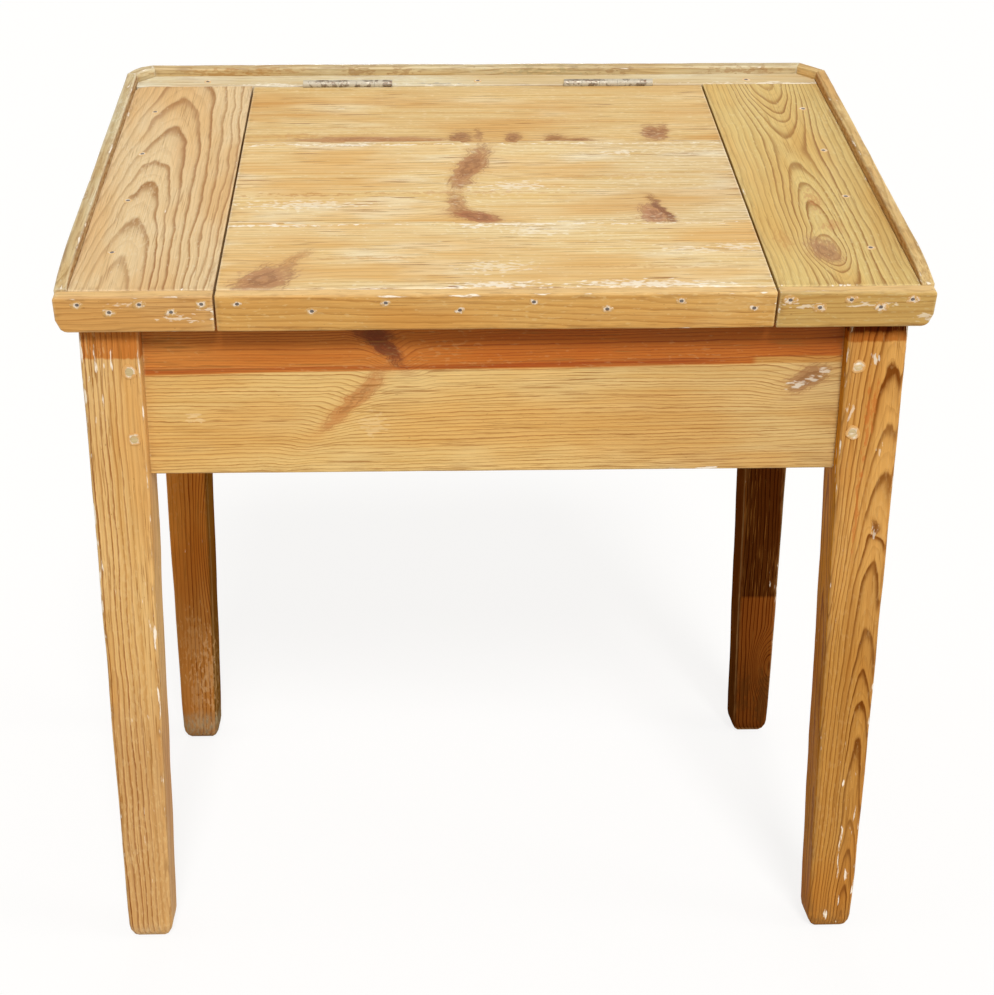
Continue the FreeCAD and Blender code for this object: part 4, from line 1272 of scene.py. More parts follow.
LEG_PINES = {
    # Straight grain: close even lines, orange and darker at the top, partly the wood's colour and partly
    # painted shadow of the lipping, a pale scuffed foot
    "front_left_leg": PineFinish(
        "leg_pine_straight",
        Pith(110.0, -60.0, 0.01, 0.012),
        LEG_TONES,
        ring=4.4,
        contrast=1.1,
        paint=0.85,
        grime=0.6,
        scored=1.0,
        gloss=0.04,
        warp=(5.0, 5.0),
        warp_scale=(160.0, 50.0),
        quiet=((36.0, 20.0, 0.3),),
        bands=(
            # Orange at the top, darkened further as painted shadow of the lipping
            Band(626, 900, 2.5, "#E2AC74", 0.9, Axis.ALONG),
            Band(-100, 200, 160, "#EDE6E6", 1.0, Axis.ALONG),
            Band(-100, 3, 22, "#D2BC98", 0.6, Axis.ALONG, stain=False, broken=0.8),
        ),
        scuff=0.25,
        seed=1.3,
    ),
    # Flat-sawn near the pith: tall narrow arches with orange streaks, painted shadow of the lipping at the
    # top, painted shade on the inner face, a dirty foot
    "front_right_leg": PineFinish(
        "leg_pine_arched",
        Pith(12.0, -2.0, 0.0, -0.062),
        RIGHT_LEG_TONES,
        ring=3.0,
        contrast=1.15,
        jag=0.25,
        paint=0.85,
        grime=0.6,
        scored=1.0,
        gloss=0.02,
        warp=(4.0, 3.0),
        warp_scale=(120.0, 40.0),
        quiet=((22.0, 38.0, 0.75),),
        knots=(Knot(455, 13, 9, 4, 20, 2.0, 2.6, core="#7A4A22", halo="#A2692C", strength=0.8),),
        marks=(
            Mark(451, 15, 5, 3, 0.4),
            Mark(622, 29, 6, 4.5, 0.75, "#DDD6C8", broken=4.0),
            Mark(563, 31, 50, 3, 0.6, "#B5642A", broken=3.0),
            Mark(578, 25, 34, 2.6, 0.55, "#B5642A", broken=3.0),
            Mark(480, 34, 60, 2.6, 0.5, "#B5642A", broken=3.0),
            Mark(573, 48, 5, 3, 0.4),
            Mark(532, 15, 5, 3, 0.35),
        ),
        bands=(
            # Painted shadow of the lipping over the top of the leg, in two steps
            Band(637, 900, 2.5, "#CFA37A", 0.9, Axis.ALONG),
            Band(646, 900, 3, "#8E5414", 0.9, Axis.ALONG),
            Band(-100, 300, 150, "#E6DECA", 1.0, Axis.ALONG),
            # Painted shade: a warmer tint on the inner face, which lies in shade
            Band(54.2, 200, 0.6, "#FFEB8B", 1.0, square=True),
            Band(-100, 4, 40, "#7C5A34", 0.6, Axis.ALONG, stain=False, broken=0.8),
        ),
        scuff=0.2,
        seed=2.9,
    ),
    # Straight lines swung by a buried knot, with painted shade in brown on the faces turned to the front
    "back_left_leg": PineFinish(
        "leg_pine_back_left",
        Pith(130.0, 30.0),
        BACK_LEG_TONES,
        ring=4.4,
        contrast=1.15,
        jag=0.3,
        paint=0.3,
        scuff=0.1,
        gloss=0.0,
        warp=(4.0, 4.0),
        quiet=((30.0, 14.0, 0.3),),
        swells=(Swell(270, 60, 150, 34, -26.0),),
        marks=(
            Mark(140, 24, 40, 22, 0.25, "#C39A66", broken=5.0),
            Mark(95, 38, 60, 10, 0.3, "#CDA878", broken=5.0),
            Mark(60, 22, 50, 10, 0.25, "#C7A070", broken=5.0),
        ),
        # Painted shade: darker front and inner faces, where the desk shades the leg
        shaded_faces=(
            ShadedFace(Axis.OUT, -49, -52, "#FFD6A0"),
            ShadedFace(Axis.ACROSS, 49, 52, "#AE965A"),
        ),
        bands=(
            Band(-100, 150, 150, "#DCE2FA", 1.0, Axis.ALONG),
            Band(-100, 26, 20, "#948A6F", 0.75, Axis.ALONG, stain=False, broken=0.6),
        ),
        seed=4.1,
    ),
    # Straight lines round a low swell, with painted shade on the faces turned to the front, almost black
    # higher up
    "back_right_leg": PineFinish(
        "leg_pine_back_right",
        Pith(-60.0, 30.0),
        BACK_LEG_TONES,
        ring=3.6,
        contrast=1.2,
        jag=0.3,
        streak=0.2,
        scrub=0.1,
        paint=0.1,
        scuff=0.0,
        gloss=0.0,
        warp=(5.0, 5.0),
        swells=(Swell(98, 47, 60, 26, 24.0),),
        marks=(
            Mark(46, 46, 60, 14, 0.6, "#4A2C10", broken=2.5),
            Mark(56, 22, 44, 10, 0.5, "#4A2C10", broken=2.5),
        ),
        # Painted shade on the front and inner faces, with a painted shadow edge 193 mm up, above which it is
        # almost black
        shaded_faces=(
            ShadedFace(Axis.OUT, -49, -52, "#9C7149"),
            ShadedFace(Axis.OUT, -49, -52, "#61422A", above=193),
            ShadedFace(Axis.ACROSS, 6, 3, "#805F40"),
        ),
        bands=(Band(-100, 60, 90, "#E4E8F4", 1.0, Axis.ALONG),),
        seed=5.7,
    ),
}

PLAIN_APRON = PineFinish("apron_pine", Pith(50.0, -35.0, 0.0, 0.05), APRON_TONES, ring=4.4, paint=0.2)
APRON_PINES = {
    # Fine lines round slanting spike knots, with a band of orange heartwood along the top, darkened from the
    # middle on, partly as painted shadow of the lipping
    "front_apron": PineFinish(
        "apron_pine_front",
        Pith(-90.0, -60.0, 0.012, 0.01),
        APRON_TONES,
        ring=3.1,
        contrast=0.85,
        jag=1.4,
        warp=(6.0, 6.0),
        paint=0.18,
        scrub=0.45,
        scored=0.9,
        scuff=0.12,
        knots=(
            Knot(226, 121, 24, 8, -48, 9.0, 3.0, core="#6A3015", halo="#9A5428", strength=0.85),
            Knot(212, 135, 22, 8, -14, 0.0, 3.0, core="#6A3015", halo="#9A5428", strength=0.7),
            Knot(196, 72, 46, 8, 43, 6.0, 3.0, core="#AE6C36", halo="#C48646", strength=0.55),
            Knot(622, 89, 22, 12, 27, 7.0, 3.0, core="#8F6240", halo="#B88650", strength=0.7),
        ),
        marks=(
            Mark(612, 83, 8, 5, 0.7, "#DDD6C8", broken=4.0),
            Mark(625, 88, 6, 4, 0.6, "#DDD6C8", broken=4.0),
            Mark(636, 96, 7, 4, 0.6, "#E4DCCC", broken=4.0),
            Mark(212, 46, 16, 12, 0.3, "#E2CA9C", broken=4.0),
            Mark(45, 54, 10, 6, 0.35, "#E9D2A8", broken=5.0),
        ),
        bands=(
            Band(95.5, 101.5, 2, "#E9B078", 0.95, fade_at=566.0, fade_over=8.0, tilt=0.012),
            Band(95.5, 99.5, 4, "#D2A084", 0.75, fade_at=500.0, fade_over=60.0, tilt=0.012),
            Band(101.5, 300, 2, "#E9B078", 0.95, tilt=0.012),
            # Darker towards the top from 140 mm along onwards: partly heartwood, partly painted shadow of the
            # lipping
            Band(95.5, 300, 3, "#EBCDA0", 0.9, fade_at=320.0, fade_over=-180.0, tilt=0.012),
            Band(350, 900, 200, "#F6F7FF", 1.0, Axis.ALONG),
        ),
        seed=8.3,
    ),
    # Flat-sawn boards: broad arches
    "back_apron": replace(
        PLAIN_APRON, name="apron_pine_back", pith=Pith(60.0, -40.0, 0.0, 0.03), ring=4.6, seed=9.9
    ),
    "left_apron": replace(PLAIN_APRON, name="apron_pine_left", pith=Pith(80.0, -45.0, 0.02, 0.04), seed=11.2),
    "right_apron": replace(PLAIN_APRON, name="apron_pine_right", seed=12.8),
}

# End grain of small round pegs, darkened by dirt
PEG_PINE = PineFinish("peg_end_grain", Pith(0.0, -40.0), PEG_TONES, ring=2.0, seed=71.0)


@dataclass
class LegFrame:
    """Four tapered legs with the aprons pegged between them. Sizes are in millimetres.

    Attributes:
        foot, foot_round, foot_wear: Width of a foot, rounding of its end, and wear of its arrises.
        leg_edge, leg_wear, leg_uneven, leg_step: Rounding, wear, unevenness and section spacing of the legs.
        top_cut: Length of leg over which the squared-up top gives way to the slope.
        shoulder: How far an apron's shoulder reaches into a leg.
        apron_edge, apron_wear: Rounding and wear of the aprons.
        peg, peg_rim, peg_ragged: Radius of a peg and of its filler, and how far the filler's rim wanders.
        peg_sink: How far the leg's face lies past a peg's end.
        peg_block: Side of the block that the pegs' grain is cut from.
    """

    foot: float = 45.0
    foot_round: float = 17.0
    foot_wear: float = 7.0
    leg_edge: float = 3.0
    leg_wear: float = 3.0
    leg_uneven: float = 0.7
    leg_step: float = 10.0
    top_cut: float = 60.0
    shoulder: float = 0.6
    apron_edge: float = 1.4
    apron_wear: float = 1.2
    peg: float = 3.6
    peg_rim: float = 6.6
    peg_sink: float = 0.45
    peg_ragged: float = 0.22
    peg_block: float = 600.0

    def build(self) -> None:
        """Make legs, aprons and the ends of their pegs."""
        self._legs()
        self._aprons()
        self._pegs()

    def _legs(self) -> None:
        """Make the legs, square beside the aprons and tapered on their inner faces below them."""
        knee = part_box("front_apron")[0].z
        for node, finish in LEG_PINES.items():
            back = node.startswith("back")
            plank = Plank(
                node,
                Lay.Z_BACK if back else Lay.Z_FRONT,
                finish,
                Slot.FRAME,
                SITE.upright,
                edge=self.leg_edge,
                wear=self.leg_wear,
                ends=(self.foot_round, 1.0),
                step=self.leg_step,
                uneven=self.leg_uneven,
                foot_wear=self.foot_wear,
            )
            outer_high = node.endswith("left_leg") != back
            plank.reshape = partial(self._tapered, plank.size.copy(), knee, outer_high, back)
            plank.build()

    def _tapered(
        self, size: Vector, knee: float, outer_high: bool, back: bool, along: float, across: float, out: float
    ) -> Triple:
        """Taper a leg and cut its top to the slope.

        Args:
            size: Length and section in metres.
            knee: Height where the taper starts.
            outer_high: True if the outer side is at the full width.
            back: True for a back leg.
            along, across, out: A point of the squared-up leg.

        Returns:
            The point on the leg.
        """
        foot, reach = self.foot * MM, self.top_cut * MM
        keep = (foot + (size.y - foot) * min(1.0, along / knee)) / size.y
        moved = size.y - (size.y - across) * keep if outer_high else across * keep
        drop = -out * SLOPE_TAN if back else (size.z + out) * SLOPE_TAN
        weight = max(0.0, (along - size.x + reach) / reach)
        return along - drop * weight, moved, out * keep

    def _aprons(self) -> None:
        """Make the aprons between the legs' faces, with their tops cut to the slope."""
        inset = self.shoulder * MM
        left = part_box("front_left_leg")[1].x - inset
        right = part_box("front_right_leg")[0].x + inset
        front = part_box("front_left_leg")[1].y - inset
        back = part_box("back_left_leg")[0].y + inset
        plans = (
            ("front_apron", Lay.X_FRONT, (left, right)),
            ("back_apron", Lay.X_BACK, (-right, -left)),
            ("left_apron", Lay.Y_LEFT, (-back, -front)),
            ("right_apron", Lay.Y_RIGHT, (front, back)),
        )
        wear = {"edge": self.apron_edge, "wear": self.apron_wear}
        for node, lay, trim in plans:
            plank = Plank(node, lay, APRON_PINES[node], Slot.FRAME, SITE.upright, trim, **wear)
            plank.reshape = partial(self._sloped, plank.size.copy(), lay)
            plank.build()

    @staticmethod
    def _sloped(size: Vector, lay: Lay, along: float, across: float, out: float) -> Triple:
        """Cut an apron's top to the slope.

        Args:
            size: Length, height and thickness in metres.
            lay: How the apron lies.
            along, across, out: A point of the squared-up apron.

        Returns:
            The point on the apron.
        """
        drops = {
            Lay.X_FRONT: size.z + out,
            Lay.X_BACK: -out,
            Lay.Y_LEFT: along,
            Lay.Y_RIGHT: size.x - along,
        }
        return along, across - across / size.y * drops[lay] * SLOPE_TAN, out

    def _pegs(self) -> None:
        """Make the pegs' ends with the filler round them."""
        filler = FillerFinish("peg_filler", "#C8995A", "#DDD5C2", 0.6, blotch=4.0, soft=0.35).material()
        block = self.peg_block * MM
        wood = PEG_PINE.material(Vector((block, block, block)), Matrix.Identity(4))
        sizes = {"sink": self.peg_sink, "head": self.peg, "rim": self.peg_rim, "ragged": self.peg_ragged}
        Heads("tenon_pegs", SITE.upright, -1, **sizes).build("peg", wood, filler, Slot.PEG)


# Unfinished softwood of the hidden pieces: plain lines, little paint
INSIDE_PINE = PineFinish("inside_pine", Pith(-40.0, -30.0), INSIDE_TONES)


@dataclass
class Compartment:
    """Ledgers and loose-laid bottom planks inside: how many planks, and section spacing in millimetres."""

    planks: int = 4
    step: float = 14.0

    def build(self) -> None:
        """Make the planks and the ledgers that they lie on."""
        for number in range(1, self.planks + 1):
            finish = replace(
                INSIDE_PINE,
                name=f"bottom_pine_{number}",
                pith=Pith(30.0 + 17.0 * number, -30.0 - 9.0 * number, 0.0, 0.03),
                ring=4.6,
                paint=0.1,
                seed=20.0 + 1.9 * number,
            )
            node = f"bottom_plank_{number}"
            Plank(node, Lay.X_UP, finish, Slot.INSIDE, SITE.upright, step=self.step).build()
        for number, side in enumerate(SIDES):
            finish = replace(INSIDE_PINE, name=f"ledger_pine_{side}", ring=4.0, seed=31.0 + number)
            lay = Lay.Y_RIGHT if side == "left" else Lay.Y_LEFT
            Plank(f"{side}_ledger", lay, finish, Slot.INSIDE, SITE.upright, step=self.step).build()


# Scrubbed almost white, with paint left along the lid
RAIL_PINE = PineFinish(
    "rail_pine",
    Pith(-30.0, -40.0),
    RAIL_TONES,
    ring=3.4,
    contrast=0.5,
    paint=0.45,
    scrub=0.4,
    marks=(
        Mark(150, 3, 26, 3, 0.7),
        Mark(335, 4, 44, 3, 0.6),
        Mark(336, 5, 30, 2, 0.6, "#8A7A5E"),
        Mark(712, 2, 70, 2.5, 0.6),
    ),
    seed=41.3,
)
# Flat-sawn boards: wide dark rings in arches and ovals that fade towards the edges
LEFT_BOARD_PINE = PineFinish(
    "side_board_pine_left",
    Pith(92.0, -22.0, -0.045, -0.082),
    LEFT_BOARD_TONES,
    ring=6.6,
    contrast=1.05,
    jag=0.12,
    quiet=((22.0, 4.0, 0.6), (96.0, 124.0, 0.45)),
    warp=(9.0, 5.0),
    warp_scale=(130.0, 45.0),
    streak=0.25,
    scrub=0.35,
    paint=0.3,
    seed=51.7,
)
RIGHT_BOARD_PINE = PineFinish(
    "side_board_pine_right",
    Pith(62.0, -44.0),
    RIGHT_BOARD_TONES,
    ring=5.2,
    contrast=1.05,
    jag=0.12,
    quiet=((38.0, 6.0, 0.4), (92.0, 124.0, 0.4)),
    warp=(7.0, 4.0),
    warp_scale=(130.0, 45.0),
    streak=0.3,
    scrub=0.2,
    paint=0.3,
    knots=(Knot(70, 75, 26, 15, 8, -11.0, 2.0, core="#A87C55", halo="#BB8E58", line="#7E5836"),),
    marks=(
        Mark(177, 64, 30, 10, 0.5, "#B4743C", broken=3.0),
        Mark(122, 57, 16, 13, 0.45, "#B4743C", broken=3.0),
        Mark(92, 108, 26, 11, 0.4, "#B98546", broken=3.0),
    ),
    swells=(Swell(125, 70, 190, 44, -16.0), Swell(540, 57, 250, 60, -30.0)),
    seed=53.9,
)
# Grey handled wood, with broken painted shade on the side lips' inner faces where they meet the boards, and
# stains along the back one
LIP_PAINTED_SHADE = Band(-50, -11.4, 0.5, "#B98A4C", 0.9, Axis.OUT, square=True, broken=0.55)
LIP_BANDS = {"left_edge_lip": (LIP_PAINTED_SHADE,), "right_edge_lip": (replace(LIP_PAINTED_SHADE, tone="#D2AA70"),)}
LIP_MARKS = {
    "back_edge_lip": (
        Mark(665, 25, 40, 5, 0.55, "#A27740"),
        Mark(610, 27, 30, 4, 0.5, "#A27740"),
        Mark(505, 26, 22, 5, 0.55, "#8F6532"),
        Mark(455, 25, 16, 5, 0.5, "#8F6532"),
        Mark(300, 27, 40, 4, 0.4, "#8E8258"),
        Mark(215, 25, 14, 5, 0.5, "#8F6532"),
        Mark(70, 26, 40, 5, 0.5, "#9A6E3A"),
    )
}
# Orange pine handled dark in front and worn pale behind its front arris
LIPPING_PINE = PineFinish(
    "lipping_pine_lid",
    Pith(60.0, -48.0, -0.02, 0.01),
    EDGE_TONES,
    ring=4.2,
    contrast=0.6,
    paint=0.55,
    grime=0.5,
    bands=(Band(-40, -2.2, 1.5, "#E6C48B", 0.8, Axis.OUT, stain=False),),
    seed=87.9,
)
SIDE_LIPPING_PINE = replace(
    LIPPING_PINE,
    pith=Pith(-25.0, -34.0, 0.0, 0.012),
    ring=4.0,
    bands=(Band(-40, -2.2, 1.5, "#E3C086", 0.75, Axis.OUT, stain=False),),
)
SIDE_LIPPING_TONES = {"left": EDGE_LEFT_TONES, "right": EDGE_RIGHT_TONES}
SIDE_LIPPING_MARKS = {
    "left": (Mark(112, 15, 16, 3, 0.55), Mark(60, 27, 9, 2.5, 0.45), Mark(138, 24, 6, 3, 0.5)),
    "right": (Mark(134, 10, 8, 3, 0.45), Mark(84, 24, 16, 3, 0.5), Mark(24, 22, 12, 3, 0.5)),
}
LIPPING_CUT = {"edge": 1.5, "wear": 1.6, "step": 5.0}


@dataclass
class FixedTop:
    """Boards, rail and raised lips round the lid. Sizes are in millimetres.

    Attributes:
        board_edge, left_wear, right_wear: Rounding and wear of the boards beside the lid.
        chip: Size of the corner broken off the left board.
        lip_edge, lip_wear, lip_ends: Rounding and wear of the lips, and rounding of their ends.
        lip_drop, lip_drop_run: How far a lip's front end is worn down, and over what length.
        corner_bulge: How far the left corner lip is worn to a bow.
        lipping_round, lipping_top_round: Rounding of a lipping's outer end, below and above.
    """

    board_edge: float = 0.7
    left_wear: float = 1.0
    right_wear: float = 1.2
    chip: float = 9.0
    lip_edge: float = 2.0
    lip_wear: float = 2.2
    lip_ends: float = 0.6
    lip_drop: float = 7.5
    lip_drop_run: float = 70.0
    corner_bulge: float = 4.5
    lipping_round: float = 12.0
    lipping_top_round: float = 4.0

    def build(self) -> None:
        """Make the fixed boards, the lips and the lippings."""
        self._side_boards()
        self._lips()
        self._lippings()
        dress_board("rear_rail", Lay.X_UP, RAIL_PINE)

    def _side_boards(self) -> None:
        """Make the two boards beside the lid, the left one with a broken corner."""
        common = {"lay": Lay.Y_UP, "slot": Slot.TOP, "placing": SITE.slope, "edge": self.board_edge}
        board = Plank("left_top_board", finish=LEFT_BOARD_PINE, wear=self.left_wear, **common)
        board.reshape = partial(self._chipped, board.size.copy())
        board.build()
        Plank("right_top_board", finish=RIGHT_BOARD_PINE, wear=self.right_wear, **common).build()

    def _chipped(self, size: Vector, along: float, across: float, out: float) -> Triple:
        """Break the outer back corner off a board.

        Args:
            size: Length, width and thickness in metres.
            along, across, out: A point of the squared-up board.

        Returns:
            The point on the board.
        """
        chip = self.chip * MM
        over = max(0.0, along - size.x + chip) + max(0.0, across - size.y + chip) - chip
        cut = max(0.0, over) / 2
        return along - cut, across - cut, out

    def _lips(self) -> None:
        """Make the raised lips along the sides, corners and back, mitred where they meet."""
        plans = (
            ("left_edge_lip", Lay.Y_LEFT, 0.0, (True, False)),
            ("right_edge_lip", Lay.Y_RIGHT, 0.0, (False, True)),
            ("left_corner_lip", Lay.X_BACK, 45.0, (True, True)),
            ("right_corner_lip", Lay.X_BACK, -45.0, (True, True)),
            ("back_edge_lip", Lay.X_BACK, 0.0, (True, True)),
        )
        ends = (self.lip_ends, self.lip_ends)
        for number, (node, lay, turn, mitres) in enumerate(plans):
            finish = PineFinish(
                "lip_pine_" + node,
                Pith(-30.0 + 9.0 * number, -36.0, 0.0, 0.01),
                LIP_RIGHT_TONES if node.startswith("right") else LIP_TONES,
                ring=4.2,
                contrast=0.7,
                paint=0.5,
                grime=0.6,
                bands=LIP_BANDS.get(node, ()),
                marks=LIP_MARKS.get(node, ()),
                seed=60.0 + 2.3 * number,
            )
            placing = SITE.slope @ Matrix.Rotation(math.radians(turn), 4, "Z")
            plank = Plank(
                node, lay, finish, Slot.EDGE, placing, edge=self.lip_edge, wear=self.lip_wear, ends=ends
            )
            bulge = self.corner_bulge if node == "left_corner_lip" else 0.0
            plank.reshape = partial(self._mitred, plank.size.copy(), mitres, bulge)
            plank.build()

    def _mitred(
        self, size: Vector, mitres: tuple[bool, bool], bulge: float, along: float, across: float, out: float
    ) -> Triple:
        """Cut a lip's ends on the mitre, longest outside, and wear a square end down to the lipping.

        Args:
            size: Length, height and thickness in metres.
            mitres: Which ends are cut.
            bulge: How far the middle bows outwards, in millimetres.
            along, across, out: A point of the squared-up lip.

        Returns:
            The point on the lip.
        """
        rise, run = self.lip_drop * MM, self.lip_drop_run * MM
        cut = -out * MITRE_TAN
        first = cut if mitres[0] else 0.0
        last = size.x - (cut if mitres[1] else 0.0)
        square = [d for d, mitred in ((along, mitres[0]), (size.x - along, mitres[1])) if not mitred]
        near = max(0.0, 1.0 - min(square, default=run) / run)
        high = max(0.0, across - size.y + 2 * rise) / (2 * rise)
        bow = bulge * MM * math.sin(math.pi * along / size.x)
        return first + (last - first) * along / size.x, across - rise * high * near**2, out + bow

    def _lippings(self) -> None:
        """Make the lippings on the front edge, rounded at their outer ends."""
        for number, side in enumerate(SIDES):
            finish = replace(
                SIDE_LIPPING_PINE,
                name=f"lipping_pine_{side}",
                tones=SIDE_LIPPING_TONES[side],
                marks=SIDE_LIPPING_MARKS[side],
                seed=77.0 + 3.1 * number,
            )
            node = f"{side}_front_lipping"
            plank = Plank(node, Lay.X_FRONT, finish, Slot.EDGE, SITE.slope, **LIPPING_CUT)
            plank.reshape = partial(self._rounded, plank.size.copy(), side == "left")
            plank.build()

    def _rounded(self, size: Vector, at_start: bool, along: float, across: float, out: float) -> Triple:
        """Round a lipping's outer end, more below than above.

        Args:
            size: Length, height and thickness in metres.
            at_start: True if the outer end is at the start.
            along, across, out: A point of the squared-up lipping.

        Returns:
            The point on the lipping.
        """
        low, top = self.lipping_round * MM, self.lipping_top_round * MM
        below, above = max(0.0, low - across), max(0.0, across - size.y + top)
        cut = low - math.sqrt(max(0.0, low**2 - below**2))
        cut += top - math.sqrt(max(0.0, top**2 - above**2))
        share = along / size.x
        moved = along + cut * (1 - share) if at_start else along - cut * share
        return moved, across, out


# Scrubbed lid: soft honey streaks, pale patches and many scratches
LID_PINE = PineFinish(
    "lid_pine",
    Pith(-60.0, -70.0, 0.01, 0.0),
    TOP_TONES,
    ring=5.0,
    contrast=0.6,
    golden=0.65,
    jag=1.4,
    streak=0.85,
    scrub=0.6,
    scored=1.1,
    warp=(6.0, 6.0),
    warp_scale=(260.0, 50.0),
)
# A big knot at the left end, and white paint rubbed into the joints
LID_FRONT_PINE = replace(
    LID_PINE,
    name="lid_pine_front",
    paint=0.4,
    knots=(
        Knot(42, 19, 36, 22, 50, 4.0, 3.0, core="#A4704C", halo="#C9A06A", strength=0.78),
        Knot(68, 58, 24, 7, 58, 0.0, 3.0, core="#B5824E", halo="#CDA770", strength=0.5),
        Knot(216, 3, 8, 3, 0, 2.0, 3.0, core="#8D6034", halo="#B98A54"),
    ),
    marks=(
        Mark(392, 6, 80, 8, 0.75, broken=4.0),
        Mark(254, 5, 46, 7, 0.75, broken=4.0),
        Mark(234, 127, 16, 4, 0.7),
        Mark(440, 74, 24, 6, 0.45),
        Mark(482, 79, 18, 7, 0.45),
        Mark(256, 41, 28, 9, 0.4),
        Mark(293, 116, 24, 8, 0.4),
        Mark(130, 60, 60, 3, 0.4, "#C08C4A"),
        Mark(380, 40, 70, 3, 0.4, "#B98546"),
        Mark(30, 129, 60, 2.5, 0.8),
        Mark(330, 130, 190, 1.3, 0.75),
    ),
    seed=81.1,
)
# Spike knots right across the board in its middle and a whorl by its front edge
LID_MIDDLE_PINE = replace(
    LID_PINE,
    name="lid_pine_middle",
    pith=Pith(240.0, -80.0, -0.01, 0.0),
    paint=0.35,
    bands=(Band(300, 900, 120, "#F7F6F8", 1.0, Axis.ALONG),),
    knots=(
        Knot(236, 132, 60, 14, 73, 5.0, 3.0, core="#9E6540", halo="#C49A62", strength=0.75),
        Knot(222, 42, 30, 11, 98, 5.0, 3.0, core="#A2683F", halo="#C8A068", strength=0.6),
        Knot(241, 16, 28, 12, 155, 5.0, 3.0, core="#9A5A3A", halo="#C49A62", strength=0.8),
        Knot(412, 16, 26, 14, 98, 5.0, 2.4, core="#A46A4C", halo="#C9A06A", strength=0.75),
        Knot(422, 26, 36, 5, 109, 0.0, 2.0, core="#7E4A2C", halo="#B98A54", strength=0.8),
    ),
    marks=(
        Mark(110, 190, 130, 2.0, 0.75),
        Mark(390, 191, 120, 1.2, 0.6),
        Mark(72, 44, 50, 8, 0.5),
        Mark(281, 85, 28, 8, 0.5),
        Mark(392, 167, 14, 5, 0.5),
        Mark(70, 68, 62, 4, 0.6, "#B98442"),
        Mark(235, 71, 90, 3, 0.55, "#BC843F"),
        Mark(380, 110, 60, 3, 0.4, "#C08C4A"),
    ),
    seed=83.3,
)
# A row of knots along the front edge
LID_BACK_PINE = replace(
    LID_PINE,
    name="lid_pine_back",
    pith=Pith(-45.0, -60.0, 0.005, 0.0),
    tones=BACK_BOARD_TONES,
    ring=4.6,
    paint=0.3,
    knots=(
        Knot(130, 10, 85, 9, 0, 3.0, 3.0, core="#A9754C", halo="#C9A06A", strength=0.7),
        Knot(229, 15, 13, 15, 0, 3.0, 3.0, core="#94643C", halo="#BC9058"),
        Knot(247, 22, 4, 16, 0, 0.0, 3.0, core="#94643C", halo="#BC9058", strength=0.5),
        Knot(285, 12, 9, 15, 0, 3.0, 3.0, core="#9A6A42", halo="#BC9058"),
        Knot(328, 8, 13, 14, 0, 3.0, 3.0, core="#9A6A42", halo="#BC9058"),
        Knot(352, 4, 17, 8, 0, 3.0, 3.0, core="#9A6A42", halo="#BC9058"),
        Knot(436, 25, 13, 20, 0, 4.0, 3.0, core="#9A6440", halo="#BC9058"),
        Knot(446, 30, 5, 18, -12, 0.0, 3.0, core="#9A6440", halo="#BC9058", strength=0.6),
    ),
    marks=(
        Mark(70, 22, 70, 3.5, 0.5, "#B98442"),
        Mark(120, 42, 90, 2.5, 0.4, "#BE8A48"),
        Mark(150, 9, 100, 4, 0.5, "#A8703F"),
        Mark(330, 60, 80, 3, 0.35, "#BE8A48"),
    ),
    seed=85.7,
)


@dataclass
class LiftLid:
    """Three boards on two battens, with a lipping along the front. Sizes are in millimetres.

    Attributes:
        board_edge, front_wear, middle_wear: Rounding and wear of the boards.
        batten_edge: Rounding of the battens.
    """

    board_edge: float = 0.9
    front_wear: float = 1.0
    middle_wear: float = 1.2
    batten_edge: float = 2.0

    def build(self) -> None:
        """Make the lid's boards, lipping and battens."""
        common = {"lay": Lay.X_UP, "slot": Slot.TOP, "placing": SITE.slope, "edge": self.board_edge}
        Plank("lid_front_board", finish=LID_FRONT_PINE, wear=self.front_wear, **common).build()
        Plank("lid_middle_board", finish=LID_MIDDLE_PINE, wear=self.middle_wear, **common).build()
        dress_board("lid_back_board", Lay.X_UP, LID_BACK_PINE)
        Plank("lid_front_lipping", Lay.X_FRONT, LIPPING_PINE, Slot.EDGE, SITE.slope, **LIPPING_CUT).build()
        for number, side in enumerate(SIDES):
            pith = Pith(20.0, -30.0)
            finish = replace(INSIDE_PINE, name=f"batten_pine_{side}", pith=pith, ring=4.4, seed=91.0 + number)
            node = f"lid_{side}_batten"
            Plank(node, Lay.Y_DOWN, finish, Slot.INSIDE, SITE.slope, edge=self.batten_edge).build()


